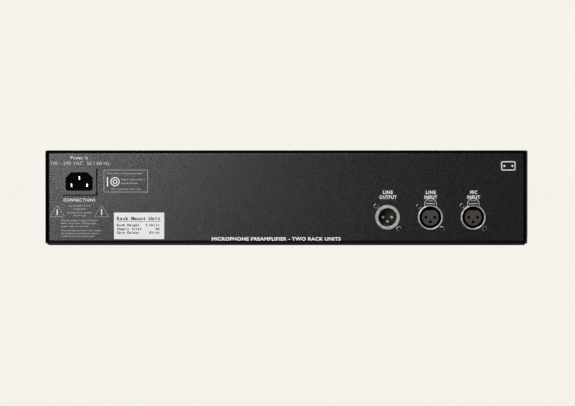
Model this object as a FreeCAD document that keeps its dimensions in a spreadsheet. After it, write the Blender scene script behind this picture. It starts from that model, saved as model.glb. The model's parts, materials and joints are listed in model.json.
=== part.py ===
"""A valve microphone preamp, two rack units high, as a parametric FreeCAD document.

The case is a bent steel tray closed by a U-shaped cover, a pan-shaped rear panel and a thick
rack panel in front. The rear panel carries a mains inlet, one male and two female three-pin
audio sockets. The front panel carries five knobs, four toggle levers, a level meter, a pilot
lamp and an instrument jack. The boards, valves, transformers and leads stand inside.

Frame: X to the right as seen from the front, Y to the rear, Z up, in millimetres. The origin
is the centre of the four rack slots, on the back face of the front panel.
"""

import FreeCAD
import Part

import os
import Sketcher

from FreeCAD import Placement, Rotation, Vector

doc = FreeCAD.newDocument("microphone_preamp")

# ----------------------------------------------------------------------------
# Driving dimensions, in millimetres and degrees
# ----------------------------------------------------------------------------

DIMENSIONS = [
    # front panel
    ("panel_width", 482.6, "19 inch rack panel"),
    ("panel_height", 88.1, "two rack units less the gap between panels"),
    ("panel_thick", 4.0, ""),
    ("panel_corner", 1.5, "corner radius"),
    ("panel_edge", 0.6, "chamfer round the front face"),
    ("slot_span", 465.1, "rack slots, centre to centre across"),
    ("slot_rise", 76.2, "rack slots, centre to centre up"),
    ("slot_width", 6.8, ""),
    ("slot_length", 11.0, ""),
    # sheet metal case
    ("case_width", 432.0, "outside of the cover"),
    ("case_height", 85.0, "underside of the tray to the top of the cover"),
    ("case_depth", 284.0, "back of the front panel to the rear edge of the cover"),
    ("cover_wall", 1.0, ""),
    ("cover_bend", 2.8, "outside bend radius"),
    ("cover_lift", 1.6, "the cover's sides stop this far above the underside"),
    ("tray_wall", 1.0, ""),
    ("tray_bend", 2.2, "outside bend radius"),
    ("tray_stop", 3.0, "the tray's sides stop this far before the rear edge"),
    ("sheet_play", 0.1, "clearance between nested sheets"),
    ("hem_thick", 1.4, "hem along the rear edge of the tray's floor"),
    ("gasket_thick", 1.0, "foam strip between the rear panel and the cover"),
    ("rear_wall", 1.5, ""),
    ("rear_bend", 1.9, "outside bend radius"),
    ("rear_inset", 0.8, "rear face, in from the cover's rear edge"),
    ("rear_flange", 12.0, "depth of the flanges round the rear panel"),
    ("relief", 2.4, "corner relief between two flanges"),
    ("vent_length", 36.0, ""),
    ("vent_width", 3.4, ""),
    ("vent_pitch", 9.0, ""),
    ("vent_field", 118.0, "the two fields of vents, centre to centre"),
    ("vent_from_rear", 150.0, "first row of cover vents to the rear edge"),
    ("vent_row_gap", 44.0, "between two rows of vents"),
    # countersunk case screws
    ("screw_radius", 1.5, ""),
    ("screw_length", 8.0, ""),
    ("screw_head", 2.9, "head radius"),
    ("screw_sink", 1.4, "depth of the countersunk head"),
    ("screw_socket", 1.3, "hexagon socket, across the corners, halved"),
    ("screw_socket_depth", 1.0, ""),
    ("thread_play", 0.08, "radial clearance of a screw in its hole"),
    ("side_screw_front", 28.0, "first side screw, behind the front panel"),
    ("side_screw_rise", 16.0, "side screws, above the underside"),
    ("flange_screw_in", 6.4, "screws into the rear flanges, in from the rear face"),
    ("floor_screw_pitch", 150.0, ""),
    ("front_screw_span", 410.0, ""),
    ("front_screw_rise", 68.0, ""),
    # three-pin audio sockets
    ("socket_from_side", 125.2, "centre of the male output socket to the case's side"),
    ("socket_pitch", 38.4, "centre to centre"),
    ("socket_z", -17.6, ""),
    ("ring_radius", 11.2, "outside of the shell"),
    ("ring_proud", 1.3, "shell in front of the rear face"),
    ("ring_edge", 0.5, "chamfer of the shell's lips"),
    ("shell_depth", 20.0, "shell behind the rear face"),
    ("male_bore", 8.05, "inside radius of the male shell"),
    ("female_bore", 9.75, "inside radius of the female shell"),
    ("insert_radius", 7.75, ""),
    ("insert_proud", 0.2, ""),
    ("insert_base", 3.0, "thickness of an insert's base"),
    ("insert_flat", 6.3, "height of the flat on top of the female insert"),
    ("cup_depth", 14.0, "male cup, from the rear face to its insert"),
    ("pin_offset", 3.96, "pins from the centre line"),
    ("pin_radius", 1.2, ""),
    ("pin_recess", 1.6, "pin tips behind the rear face"),
    ("tail_length", 4.0, "pins and contacts behind the shell"),
    ("contact_hole", 1.45, "mouth of a female contact"),
    ("contact_mouth", 2.0, "depth of that mouth"),
    ("contact_radius", 1.75, "outside of a contact sleeve"),
    ("contact_bore", 1.25, ""),
    ("contact_blind", 6.0, "solid end of a contact sleeve"),
    ("key_width", 2.2, ""),
    ("key_height", 1.0, ""),
    ("flange_margin", 2.8, "socket flange outside its screws' centre lines"),
    ("flange_extra", 5.0, "flange taller than it is wide"),
    ("flange_thick", 2.0, ""),
    ("flange_rise", 1.5, "centre of the flange above the socket's centre"),
    ("screw_gap", 0.925, "between a shell's ring and the heads of its screws"),
    ("hood_step", 0.5, "centre of the latch hood's arch, above the top of the ring"),
    ("hood_radius", 5.5, ""),
    ("hood_wall", 0.8, ""),
    ("hood_proud", 0.7, ""),
    ("hood_depth", 14.0, ""),
    ("hood_floor", 1.5, "wall behind the latch's pocket"),
    ("latch_play", 0.3, ""),
    ("latch_proud", 2.2, ""),
    ("latch_travel", 1.5, ""),
    ("latch_rib", 0.9, "width of the grip ribs on the latch"),
    ("latch_rib_depth", 0.5, ""),
    ("cutout_play", 0.15, "clearance of a connector in its cutout"),
    ("seat_play", 0.04, "clearance of a piece pressed into its seat"),
    ("small_screw_radius", 1.25, ""),
    ("small_screw_head", 2.3, ""),
    ("small_screw_head_height", 1.2, ""),
    ("small_screw_length", 6.5, ""),
    # mains inlet
    ("inlet_from_side", 30.4, "centre of the inlet to the case's side"),
    ("inlet_z", 14.6, ""),
    ("bezel_width", 30.4, ""),
    ("bezel_height", 23.6, ""),
    ("bezel_thick", 2.0, ""),
    ("bezel_corner", 1.0, ""),
    ("cavity_width", 24.4, ""),
    ("cavity_height", 16.6, ""),
    ("cavity_shoulder", 5.0, "chamfer of the two upper corners"),
    ("cavity_heel", 1.6, "chamfer of the two lower corners"),
    ("cavity_depth", 16.5, ""),
    ("inlet_wall", 1.4, ""),
    ("inlet_base", 1.5, ""),
    ("blade_width", 2.0, ""),
    ("blade_height", 4.0, ""),
    ("blade_recess", 1.5, "blade tips behind the bezel's face"),
    ("blade_spacing", 14.0, ""),
    ("live_drop", 3.4, "line and neutral blades below the centre line"),
    ("earth_rise", 3.2, "earth blade above the centre line"),
    ("blade_tail", 8.0, ""),
    # identification label
    ("label_from_side", 83.9, "centre of the label to the case's side"),
    ("label_z", -25.2, ""),
    ("label_width", 45.0, ""),
    ("label_height", 23.8, ""),
    ("label_thick", 0.15, ""),
    # knobs and rotary controls
    ("control_z", -3.0, "centre line of the knobs"),
    ("input_x", -152.0, ""),
    ("gain_x", -103.0, ""),
    ("low_x", 4.0, ""),
    ("high_x", 45.0, ""),
    ("level_x", 93.0, ""),
    ("small_knob", 12.0, "skirt radius"),
    ("gain_knob_radius", 14.5, "skirt radius"),
    ("level_knob_radius", 18.0, "skirt radius"),
    ("knob_gap", 0.8, "knob to panel"),
    ("knob_height", 16.5, ""),
    ("skirt_height", 3.0, ""),
    ("skirt_edge", 0.8, ""),
    ("grip_inset", 3.0, "grip inside the skirt"),
    ("grip_crown", 1.2, "chamfer round the knob's face"),
    ("flute_radius", 1.1, ""),
    ("pointer_width", 1.3, ""),
    ("pointer_depth", 0.4, ""),
    ("pointer_start", 3.5, "pointer groove, from the axis"),
    ("nut_recess", 8.3, "hollow in the knob's back, radius"),
    ("bore_depth", 12.0, "shaft in the knob"),
    ("bore_relief", 0.4, ""),
    ("shaft_radius", 3.0, ""),
    ("shaft_play", 0.06, "running clearance of a shaft"),
    ("shaft_engage", 9.0, "shaft behind the tray's front wall"),
    ("shaft_end_gap", 0.6, ""),
    ("bushing_radius", 4.7, ""),
    ("bushing_past_nut", 0.6, ""),
    ("hole_play", 0.2, "radial clearance of a panel hole"),
    ("nut_radius", 7.2, "across the corners, halved"),
    ("nut_thick", 2.2, ""),
    ("pot_radius", 12.0, ""),
    ("switch_radius", 14.0, ""),
    ("control_depth", 12.0, ""),
    # toggle switches
    ("toggle_z", -8.0, ""),
    ("toggle_x", -67.0, "first toggle switch"),
    ("toggle_pitch", 18.5, ""),
    ("power_x", 199.0, ""),
    ("power_z", -16.0, ""),
    ("toggle_bushing", 3.1, ""),
    ("toggle_bore", 2.1, ""),
    ("toggle_nut", 4.8, ""),
    ("toggle_nut_thick", 1.8, ""),
    ("toggle_past_nut", 1.2, ""),
    ("toggle_body_width", 8.0, ""),
    ("toggle_body_height", 13.0, ""),
    ("toggle_body_depth", 10.0, ""),
    ("pivot_inside", 3.4, "lever pivot inside the bushing's mouth"),
    ("pivot_ball", 1.85, ""),
    ("pivot_pin", 0.5, "pin across the bushing, which the lever turns on"),
    ("pivot_play", 0.05, "round the pin, in the lever"),
    ("lever_tail", 3.6, ""),
    ("lever_neck", 0.9, ""),
    ("lever_shoulder", 5.2, "where the lever starts to widen"),
    ("lever_tip", 2.3, ""),
    ("lever_length", 17.0, ""),
    ("lever_swing", 12.0, "degrees each side of straight out"),
    # instrument jack
    ("jack_x", -190.0, ""),
    ("jack_z", -14.0, ""),
    ("jack_bore", 3.3, ""),
    ("jack_past_nut", 1.2, ""),
    ("jack_width", 16.0, ""),
    ("jack_height", 22.0, ""),
    ("jack_depth", 24.0, ""),
    ("jack_end", 2.0, "wall at the end of the jack's bore"),
    # meter
    ("meter_x", 148.0, ""),
    ("meter_z", 0.0, ""),
    ("meter_width", 56.0, "case"),
    ("meter_height", 42.0, "case"),
    ("meter_depth", 30.0, "case behind the panel's back"),
    ("meter_wall", 1.6, ""),
    ("frame_width", 62.0, "bezel"),
    ("frame_height", 48.0, "bezel"),
    ("frame_thick", 4.6, ""),
    ("frame_corner", 2.0, ""),
    ("sight_width", 51.0, "opening in the bezel"),
    ("sight_top", 18.0, ""),
    ("sight_bottom", -10.0, ""),
    ("glass_margin", 0.8, "window inside the case's outline"),
    ("glass_thick", 1.6, ""),
    ("dial_y", 2.0, "dial plate behind the panel's back"),
    ("dial_thick", 0.8, ""),
    ("dial_play", 0.2, ""),
    ("dial_hole", 1.8, ""),
    ("pivot_drop", 15.0, "needle pivot below the meter's centre"),
    ("needle_length", 28.0, ""),
    ("needle_width", 0.6, ""),
    ("needle_thick", 0.4, ""),
    ("needle_gap", 0.8, "needle in front of the dial"),
    ("needle_tail", 3.6, "counterweight's reach behind the pivot"),
    ("needle_hub", 1.5, ""),
    ("needle_staff", 0.6, ""),
    ("needle_swing", 45.0, "degrees each side of upright"),
    ("staff_length", 9.0, ""),
    ("magnet_width", 30.0, ""),
    ("magnet_height", 18.0, ""),
    ("magnet_depth", 14.0, ""),
    ("magnet_gap", 2.0, "dial to magnet"),
    # pilot lamp
    ("lamp_z", 16.0, ""),
    ("lamp_rim", 5.4, ""),
    ("lamp_rim_thick", 1.6, ""),
    ("lamp_tube", 3.9, ""),
    ("lamp_bore", 3.1, ""),
    ("lamp_depth", 10.0, ""),
    ("lens_proud", 4.4, ""),
    # boards
    ("board_thick", 1.6, ""),
    ("standoff_height", 8.0, ""),
    ("standoff_radius", 2.9, ""),
    ("board_hole_in", 5.0, "fixing holes from a board's edges"),
    ("board_screw_head", 2.8, ""),
    ("board_screw_head_height", 1.8, ""),
    ("board_screw_length", 6.0, ""),
    ("main_board_from_side", 11.0, ""),
    ("main_board_width", 267.0, ""),
    ("main_board_depth", 180.0, ""),
    ("main_board_from_rear", 33.2, "board's rear edge to the rear face"),
    ("supply_from_side", 13.0, ""),
    ("supply_width", 85.0, ""),
    ("supply_depth", 112.0, ""),
    ("supply_from_rear", 31.2, ""),
    ("control_board_height", 48.0, ""),
    ("control_board_left", -172.0, ""),
    ("control_board_right", 113.0, ""),
    # valves
    ("valve_radius", 10.6, ""),
    ("valve_height", 46.0, "shoulder to the socket's top"),
    ("valve_wall", 1.0, ""),
    ("valve_tip", 4.0, ""),
    ("valve_socket_radius", 11.5, ""),
    ("valve_socket_height", 9.0, ""),
    ("valve_in", 70.0, "first valve, from the main board's left edge"),
    ("valve_pitch", 42.0, ""),
    ("valve_from_back", 132.0, "valves, from the main board's rear edge"),
    # transformers
    ("input_can_radius", 15.0, ""),
    ("input_can_height", 38.0, ""),
    ("input_can_in", 45.0, "from the main board's left edge"),
    ("input_can_from_back", 50.0, "from the main board's rear edge"),
    ("can_edge", 2.0, ""),
    ("core_width", 50.0, "output transformer"),
    ("core_depth", 24.0, ""),
    ("core_height", 42.0, ""),
    ("coil_width", 30.0, ""),
    ("coil_depth", 42.0, ""),
    ("coil_round", 5.25, "rounding down a winding's corners"),
    ("coil_height", 26.0, ""),
    ("core_in", 223.0, "from the main board's left edge"),
    ("core_from_back", 60.0, "from the main board's rear edge"),
    ("ferrite_width", 36.0, "supply transformer"),
    ("ferrite_depth", 16.0, ""),
    ("ferrite_height", 30.0, ""),
    ("bobbin_width", 22.0, ""),
    ("bobbin_depth", 28.0, ""),
    ("bobbin_height", 20.0, ""),
    ("ferrite_in", 42.0, "from the supply board's left edge"),
    ("ferrite_from_back", 56.0, "from the supply board's rear edge"),
    # capacitors
    ("can_cap_radius", 9.0, "electrolytic"),
    ("can_cap_height", 32.0, ""),
    ("can_cap_in", 14.0, "from the supply board's left edge"),
    ("can_cap_from_back", 94.0, "from the supply board's rear edge"),
    ("can_cap_pitch", 23.0, ""),
    ("film_cap_width", 26.0, "coupling capacitor"),
    ("film_cap_depth", 9.0, ""),
    ("film_cap_height", 16.0, ""),
    ("film_cap_in", 97.0, "from the main board's left edge"),
    ("film_cap_from_back", 90.0, "from the main board's rear edge"),
    ("film_cap_pitch", 16.0, ""),
    ("film_cap_step", 36.0, ""),
    # terminals and leads
    ("terminal_width", 26.0, ""),
    ("terminal_depth", 11.0, ""),
    ("terminal_height", 10.0, ""),
    ("lead_radius", 1.3, ""),
    ("mains_bend", 9.0, ""),
    ("audio_lead_radius", 0.9, ""),
    ("audio_bend", 6.0, ""),
    ("audio_landing", 3.4, "where the audio leads land, in from the board's rear edge"),
    ("ribbon_width", 32.0, ""),
    ("ribbon_thick", 1.2, ""),
    ("ribbon_bend", 10.0, ""),
    ("ribbon_x", -25.0, ""),
    ("ribbon_drop", 12.0, "ribbon below the knobs' centre line"),
    ("header_height", 6.0, ""),
    ("header_depth", 8.0, ""),
]

SIDE_SCREWS = 3
VALVE_COUNT = 3
CAN_CAP_COUNT = 3
FILM_CAP_COLUMNS = 3
FILM_CAP_ROWS = 3
VENT_COUNT = 9
VENT_ROWS = 2
FLUTE_COUNT = 24
DIAGONAL = 0.5**0.5
HALF_TURN = 180.0
FULL_TURN = 360.0
QUARTER_TURN = 90.0

sheet = doc.addObject("Spreadsheet::Sheet", "Dims")
for row, (alias, number, note) in enumerate(DIMENSIONS, start=1):
    sheet.set(f"A{row}", alias)
    sheet.set(f"B{row}", str(number))
    sheet.set(f"C{row}", note)
    sheet.setAlias(f"B{row}", alias)
doc.recompute()


class Size:
    """A length that knows both its value and the sheet expression it comes from."""

    def __init__(self, value, text):
        self.value = value
        self.text = text

    def __add__(self, other):
        other = size_of(other)
        return Size(self.value + other.value, f"({self.text} + {other.text})")

    def __sub__(self, other):
        other = size_of(other)
        return Size(self.value - other.value, f"({self.text} - {other.text})")

    def __mul__(self, other):
        other = size_of(other)
        return Size(self.value * other.value, f"({self.text} * {other.text})")

    def __truediv__(self, other):
        other = size_of(other)
        return Size(self.value / other.value, f"({self.text} / {other.text})")

    def __radd__(self, other):
        return size_of(other) + self

    def __rsub__(self, other):
        return size_of(other) - self

    def __rmul__(self, other):
        return size_of(other) * self

    def __neg__(self):
        return Size(-self.value, f"(0 - {self.text})")


def size_of(number):
    """A Size from a Size or from a plain number."""
    return number if isinstance(number, Size) else Size(float(number), str(float(number)))


class Dimensions:
    """The sheet's cells by name, each as a Size."""

    def __getattr__(self, alias):
        return Size(float(sheet.get(alias)), f"Dims.{alias}")


dim = Dimensions()


def bind(thing, path, size):
    """Ties one property of a document object to the sheet."""
    thing.setExpression(path, size_of(size).text)


# ----------------------------------------------------------------------------
# Part primitives and booleans
# ----------------------------------------------------------------------------

AXIS_TURNS = {
    "z": Rotation(),
    "y": Rotation(Vector(1, 0, 0), -QUARTER_TURN),
    "-y": Rotation(Vector(1, 0, 0), QUARTER_TURN),
    "x": Rotation(Vector(0, 1, 0), QUARTER_TURN),
    "-x": Rotation(Vector(0, 1, 0), -QUARTER_TURN),
    "-z": Rotation(Vector(1, 0, 0), HALF_TURN),
}


def place(thing, at, turn=Rotation()):
    """Puts an object's own origin at a point given by three sizes."""
    at = [size_of(size) for size in at]
    thing.Placement = Placement(Vector(*(size.value for size in at)), turn)
    for letter, size in zip("xyz", at):
        bind(thing, f"Placement.Base.{letter}", size)
    return thing


def box(name, x, y, z):
    """A box between two values on each axis."""
    block = doc.addObject("Part::Box", name)
    for side, (low, high) in zip(("Length", "Width", "Height"), (x, y, z)):
        bind(block, side, size_of(high) - low)
    return place(block, (x[0], y[0], z[0]))


def centred_box(name, centre, y, width, height):
    """A box that is centred on an x and a z, and spans y[0] to y[1]."""
    x, z = size_of(centre[0]), size_of(centre[1])
    width, height = size_of(width), size_of(height)
    span, rise = (x - width / 2, x + width / 2), (z - height / 2, z + height / 2)
    return box(name, span, y, rise)


def cylinder(name, at, radius, length, axis="y"):
    """A cylinder that starts at a point and runs along an axis."""
    rod = doc.addObject("Part::Cylinder", name)
    bind(rod, "Radius", radius)
    bind(rod, "Height", length)
    return place(rod, at, AXIS_TURNS[axis])


def cone(name, at, radius, end_radius, length, axis="y"):
    """A cone that starts at a point with one radius and ends with another."""
    taper = doc.addObject("Part::Cone", name)
    bind(taper, "Radius1", radius)
    bind(taper, "Radius2", end_radius)
    bind(taper, "Height", length)
    return place(taper, at, AXIS_TURNS[axis])


def hexagon(name, at, radius, length, axis="-y"):
    """A hexagonal prism, its radius taken to the corners."""
    prism = doc.addObject("Part::Prism", name)
    prism.Polygon = 6
    bind(prism, "Circumradius", radius)
    bind(prism, "Height", length)
    return place(prism, at, AXIS_TURNS[axis])


def fuse(name, *pieces):
    """One solid from several that meet."""
    joined = doc.addObject("Part::MultiFuse", name)
    joined.Shapes = list(pieces)
    joined.Refine = True
    return joined


def cut(name, base, *tools):
    """The base less the tools."""
    left = doc.addObject("Part::Cut", name)
    left.Base = base
    left.Tool = tools[0] if len(tools) == 1 else group(name + "_tools", tools)
    left.Refine = True
    return left


def group(name, pieces):
    """Separate solids that share one name."""
    bundle = doc.addObject("Part::Compound", name)
    bundle.Links = list(pieces)
    return bundle


# ----------------------------------------------------------------------------
# PartDesign bodies
# ----------------------------------------------------------------------------


def new_body(name):
    return doc.addObject("PartDesign::Body", name)


def new_sketch(body, name, role, offset=None):
    """A sketch on one of the body's own origin planes, moved along its normal."""
    sketch = body.newObject("Sketcher::SketchObject", name)
    plane = next(f for f in body.Origin.OriginFeatures if f.Role == role)
    sketch.AttachmentSupport = [(plane, "")]
    sketch.MapMode = "FlatFace"
    if offset is not None:
        bind(sketch, "AttachmentOffset.Base.z", offset)
    return sketch


def pin_down(sketch, element, end, x, y):
    """Ties a point of a sketch element to the sketch's origin by two sizes."""
    for kind, size in (("DistanceX", size_of(x)), ("DistanceY", size_of(y))):
        rule = Sketcher.Constraint(kind, -1, 1, element, end, size.value)
        number = sketch.addConstraint(rule)
        sketch.setExpression(f"Constraints[{number}]", size.text)


def draw_polygon(sketch, points):
    """A closed outline of straight lines, each corner tied to the sheet."""
    corners = [Vector(size_of(x).value, size_of(y).value, 0) for x, y in points]
    first = None
    lines = []
    for start, end in zip(corners, corners[1:] + corners[:1]):
        lines.append(sketch.addGeometry(Part.LineSegment(start, end), False))
        first = lines[0] if first is None else first
    for line, after in zip(lines, lines[1:] + lines[:1]):
        sketch.addConstraint(Sketcher.Constraint("Coincident", line, 2, after, 1))
    for line, (x, y) in zip(lines, points):
        pin_down(sketch, line, 1, x, y)


def draw_rectangle(sketch, x, y):
    draw_polygon(sketch, [(x[0], y[0]), (x[1], y[0]), (x[1], y[1]), (x[0], y[1])])


def draw_circle(sketch, x, y, radius):
    x, y, radius = size_of(x), size_of(y), size_of(radius)
    shape = Part.Circle(Vector(x.value, y.value, 0), Vector(0, 0, 1), radius.value)
    ring = sketch.addGeometry(shape, False)
    number = sketch.addConstraint(Sketcher.Constraint("Radius", ring, radius.value))
    sketch.setExpression(f"Constraints[{number}]", radius.text)
    pin_down(sketch, ring, 3, x, y)


def draw_stadium(sketch, x, y, length, width):
    """A slot with round ends that runs along the sketch's x."""
    x, y, radius = size_of(x), size_of(y), size_of(width) / 2
    reach = (size_of(length) - width) / 2
    ends = []
    for centre, start in ((x + reach, -QUARTER_TURN), (x - reach, QUARTER_TURN)):
        middle = Vector(centre.value, y.value, 0)
        circle = Part.Circle(middle, Vector(0, 0, 1), radius.value)
        first = FreeCAD.Units.Quantity(start, "deg").getValueAs("rad").Value
        last = FreeCAD.Units.Quantity(start + HALF_TURN, "deg").getValueAs("rad").Value
        arc = sketch.addGeometry(Part.ArcOfCircle(circle, first, last), False)
        number = sketch.addConstraint(Sketcher.Constraint("Radius", arc, radius.value))
        sketch.setExpression(f"Constraints[{number}]", radius.text)
        pin_down(sketch, arc, 3, centre, y)
        ends.append((arc, centre))
    for (arc, centre), (other, far), side in ((*ends, 1), (*ends[::-1], -1)):
        height = y.value + side * radius.value
        near = Vector(centre.value, height, 0)
        line = sketch.addGeometry(Part.LineSegment(near, Vector(far.value, height, 0)), False)
        sketch.addConstraint(Sketcher.Constraint("Tangent", arc, 2, line, 1))
        sketch.addConstraint(Sketcher.Constraint("Tangent", line, 2, other, 1))


def pad(body, sketch, length, reverse=False):
    feature = body.newObject("PartDesign::Pad", sketch.Name + "_pad")
    feature.Profile = sketch
    bind(feature, "Length", length)
    feature.Reversed = reverse
    sketch.Visibility = False
    return feature


def pocket(body, sketch, depth, reverse=False):
    feature = body.newObject("PartDesign::Pocket", sketch.Name + "_pocket")
    feature.Profile = sketch
    bind(feature, "Length", depth)
    feature.Reversed = reverse
    return feature


def turned(name, profile, at, axis="y"):
    """A body of revolution. Its profile is a list of (radius, height along the axis)."""
    body = new_body(name)
    sketch = new_sketch(body, name + "_profile", "XZ_Plane")
    draw_polygon(sketch, profile)
    feature = body.newObject("PartDesign::Revolution", name + "_turn")
    feature.Profile = sketch
    feature.ReferenceAxis = (sketch, ["V_Axis"])
    feature.Angle = FULL_TURN
    return place(body, at, AXIS_TURNS[axis])


def soften(body, name, radius, chosen, kind="PartDesign::Fillet"):
    """Rounds or chamfers the edges of a body's tip that a test picks out."""
    doc.recompute()
    base = body.Tip
    names = [f"Edge{n}" for n, edge in enumerate(base.Shape.Edges, start=1) if chosen(edge)]
    feature = body.newObject(kind, name)
    feature.Base = (base, names)
    bind(feature, "Radius" if kind.endswith("Fillet") else "Size", radius)
    return feature


def runs_along(edge, axis):
    """Whether an edge is a straight line along an axis, given as a vector."""
    if not isinstance(edge.Curve, Part.Line):
        return False
    return abs(abs(edge.tangentAt(edge.FirstParameter).dot(axis)) - 1) < 1e-6


def near(value, size):
    return abs(value - size_of(size).value) < 1e-4


def upright(edge):
    return runs_along(edge, Vector(0, 1, 0))


# ----------------------------------------------------------------------------
# Places that several pieces share
# ----------------------------------------------------------------------------

face_y = dim.case_depth - dim.rear_inset  # outside of the rear panel
front_y = -dim.panel_thick  # outside of the front panel
under_z = -dim.case_height / 2  # underside of the tray
deck_z = under_z + dim.tray_wall  # top of the tray's floor
lid_z = dim.case_height / 2 - dim.cover_wall  # underside of the cover's top
tray_side = dim.case_width / 2 - dim.cover_wall - dim.sheet_play  # outside of the tray
rear_side = tray_side - dim.tray_wall - dim.sheet_play  # outside of the rear panel
rear_bottom = deck_z + dim.hem_thick + dim.sheet_play
rear_top = lid_z - dim.gasket_thick
tray_top = lid_z - (dim.cover_bend - dim.cover_wall) - dim.sheet_play  # clears the bend
board_z = deck_z + dim.standoff_height
board_top = board_z + dim.board_thick
shell_back = face_y - dim.shell_depth
supply_rear = face_y - dim.supply_from_rear
main_rear = face_y - dim.main_board_from_rear

hood_centre = dim.ring_radius + dim.hood_step
flange_screw = (dim.ring_radius + dim.small_screw_head + dim.screw_gap) * DIAGONAL
flange_width = (flange_screw + dim.flange_margin) * 2

inlet_x = dim.case_width / 2 - dim.inlet_from_side
label_x = dim.case_width / 2 - dim.label_from_side
socket_x = dim.socket_from_side - dim.case_width / 2
main_board_left = dim.main_board_from_side - dim.case_width / 2
main_board_right = main_board_left + dim.main_board_width
main_front = main_rear - dim.main_board_depth
supply_right = dim.case_width / 2 - dim.supply_from_side
supply_left = supply_right - dim.supply_width
supply_front = supply_rear - dim.supply_depth

SOCKET_X = {
    "line_output": socket_x,
    "line_input": socket_x - dim.socket_pitch,
    "mic_input": socket_x - dim.socket_pitch * 2,
}
FEMALE_SOCKETS = ("line_input", "mic_input")
PIN_PLACES = ((-1, 0), (1, 0), (0, -1))

CONTROLS = {
    "input_select": (dim.input_x, dim.small_knob, dim.switch_radius),
    "gain": (dim.gain_x, dim.gain_knob_radius, dim.switch_radius),
    "low_tone": (dim.low_x, dim.small_knob, dim.pot_radius),
    "high_tone": (dim.high_x, dim.small_knob, dim.pot_radius),
    "level": (dim.level_x, dim.level_knob_radius, dim.pot_radius),
}
TOGGLES = {
    "phantom": (dim.toggle_x, dim.toggle_z),
    "polarity": (dim.toggle_x + dim.toggle_pitch, dim.toggle_z),
    "pad": (dim.toggle_x + dim.toggle_pitch * 2, dim.toggle_z),
    "power": (dim.power_x, dim.power_z),
}

nodes = {}


# ----------------------------------------------------------------------------
# Case screws
# ----------------------------------------------------------------------------


def countersunk_screw(name, at, axis):
    """A flush screw that starts at a surface and runs in along an axis."""
    head = cone(name + "_head", at, dim.screw_head, dim.screw_radius, dim.screw_sink, axis)
    shank = cylinder(name + "_shank", at, dim.screw_radius, dim.screw_length, axis)
    socket = hexagon(name + "_socket", at, dim.screw_socket, dim.screw_socket_depth, axis)
    return cut(name, fuse(name + "_blank", head, shank), socket)


def countersink(name, at, axis):
    """The space that such a screw needs."""
    radius = dim.screw_radius + dim.thread_play
    mouth = dim.screw_head + dim.thread_play
    head = cone(name + "_mouth", at, mouth, radius, dim.screw_sink, axis)
    shank = cylinder(name + "_bore", at, radius, dim.screw_length, axis)
    return fuse(name, head, shank)


def side_screw_places():
    """Three screws down each side of the cover, with the direction they run in."""
    last = face_y - dim.rear_flange * 2
    first = dim.side_screw_front
    for side, axis in ((-1, "x"), (1, "-x")):
        for step in range(SIDE_SCREWS):
            y = first + (last - first) * (step / (SIDE_SCREWS - 1))
            yield (dim.case_width / 2 * side, y, under_z + dim.side_screw_rise), axis


def floor_screw_places():
    """Three screws from below into the rear panel's lower flange."""
    for step in (-1, 0, 1):
        yield (dim.floor_screw_pitch * step, face_y - dim.flange_screw_in, under_z), "z"


def front_screw_places():
    """Four screws through the front panel into the tray's front wall."""
    for side in (-1, 1):
        for level in (-1, 1):
            x = dim.front_screw_span / 2 * side
            yield (x, front_y, dim.front_screw_rise / 2 * level), "y"


SCREW_SETS = {
    "cover_screws": list(side_screw_places()),
    "rear_panel_screws": list(floor_screw_places()),
    "front_panel_screws": list(front_screw_places()),
}


def screw_holes(owner, set_name):
    places = SCREW_SETS[set_name]
    return [countersink(f"{owner}_{set_name}_{n}", *spot) for n, spot in enumerate(places)]


case_screws = []
for set_name, places in SCREW_SETS.items():
    for n, spot in enumerate(places):
        case_screws.append(countersunk_screw(f"{set_name}_{n}", *spot))
nodes["case_screws"] = group("case_screws", case_screws)


# ----------------------------------------------------------------------------
# Sheet metal
# ----------------------------------------------------------------------------


def draw_front_openings(sketch):
    """The holes that the front panel and the tray's front wall share."""
    for x, _, _ in CONTROLS.values():
        draw_circle(sketch, x, dim.control_z, dim.bushing_radius + dim.hole_play)
    for x, z in TOGGLES.values():
        draw_circle(sketch, x, z, dim.toggle_bushing + dim.hole_play)
    draw_circle(sketch, dim.jack_x, dim.jack_z, dim.bushing_radius + dim.hole_play)
    draw_circle(sketch, dim.power_x, dim.lamp_z, dim.lamp_tube + dim.hole_play)
    width = dim.meter_width / 2 + dim.hole_play
    height = dim.meter_height / 2 + dim.hole_play
    draw_rectangle(
        sketch,
        (dim.meter_x - width, dim.meter_x + width),
        (dim.meter_z - height, dim.meter_z + height),
    )


def make_front_panel():
    plate = new_body("front_plate")
    outline = new_sketch(plate, "front_outline", "XZ_Plane")
    half_width, half_height = dim.panel_width / 2, dim.panel_height / 2
    draw_rectangle(outline, (-half_width, half_width), (-half_height, half_height))
    for side in (-1, 1):
        for level in (-1, 1):
            x, z = dim.slot_span / 2 * side, dim.slot_rise / 2 * level
            draw_stadium(outline, x, z, dim.slot_length, dim.slot_width)
    draw_front_openings(outline)
    pad(plate, outline, dim.panel_thick)

    def at_corner(edge):
        return upright(edge) and near(abs(edge.CenterOfMass.x), half_width)

    soften(plate, "front_corners", dim.panel_corner, at_corner)

    def on_rim(edge):
        middle = edge.CenterOfMass
        if not (near(edge.BoundBox.YMin, front_y) and near(edge.BoundBox.YMax, front_y)):
            return False
        past_side = abs(middle.x) > half_width.value - dim.panel_corner.value
        return past_side or abs(middle.z) > half_height.value - dim.panel_corner.value

    soften(plate, "front_bevel", dim.panel_edge, on_rim, "PartDesign::Chamfer")
    return cut("front_panel", plate, *screw_holes("front", "front_panel_screws"))


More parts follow.
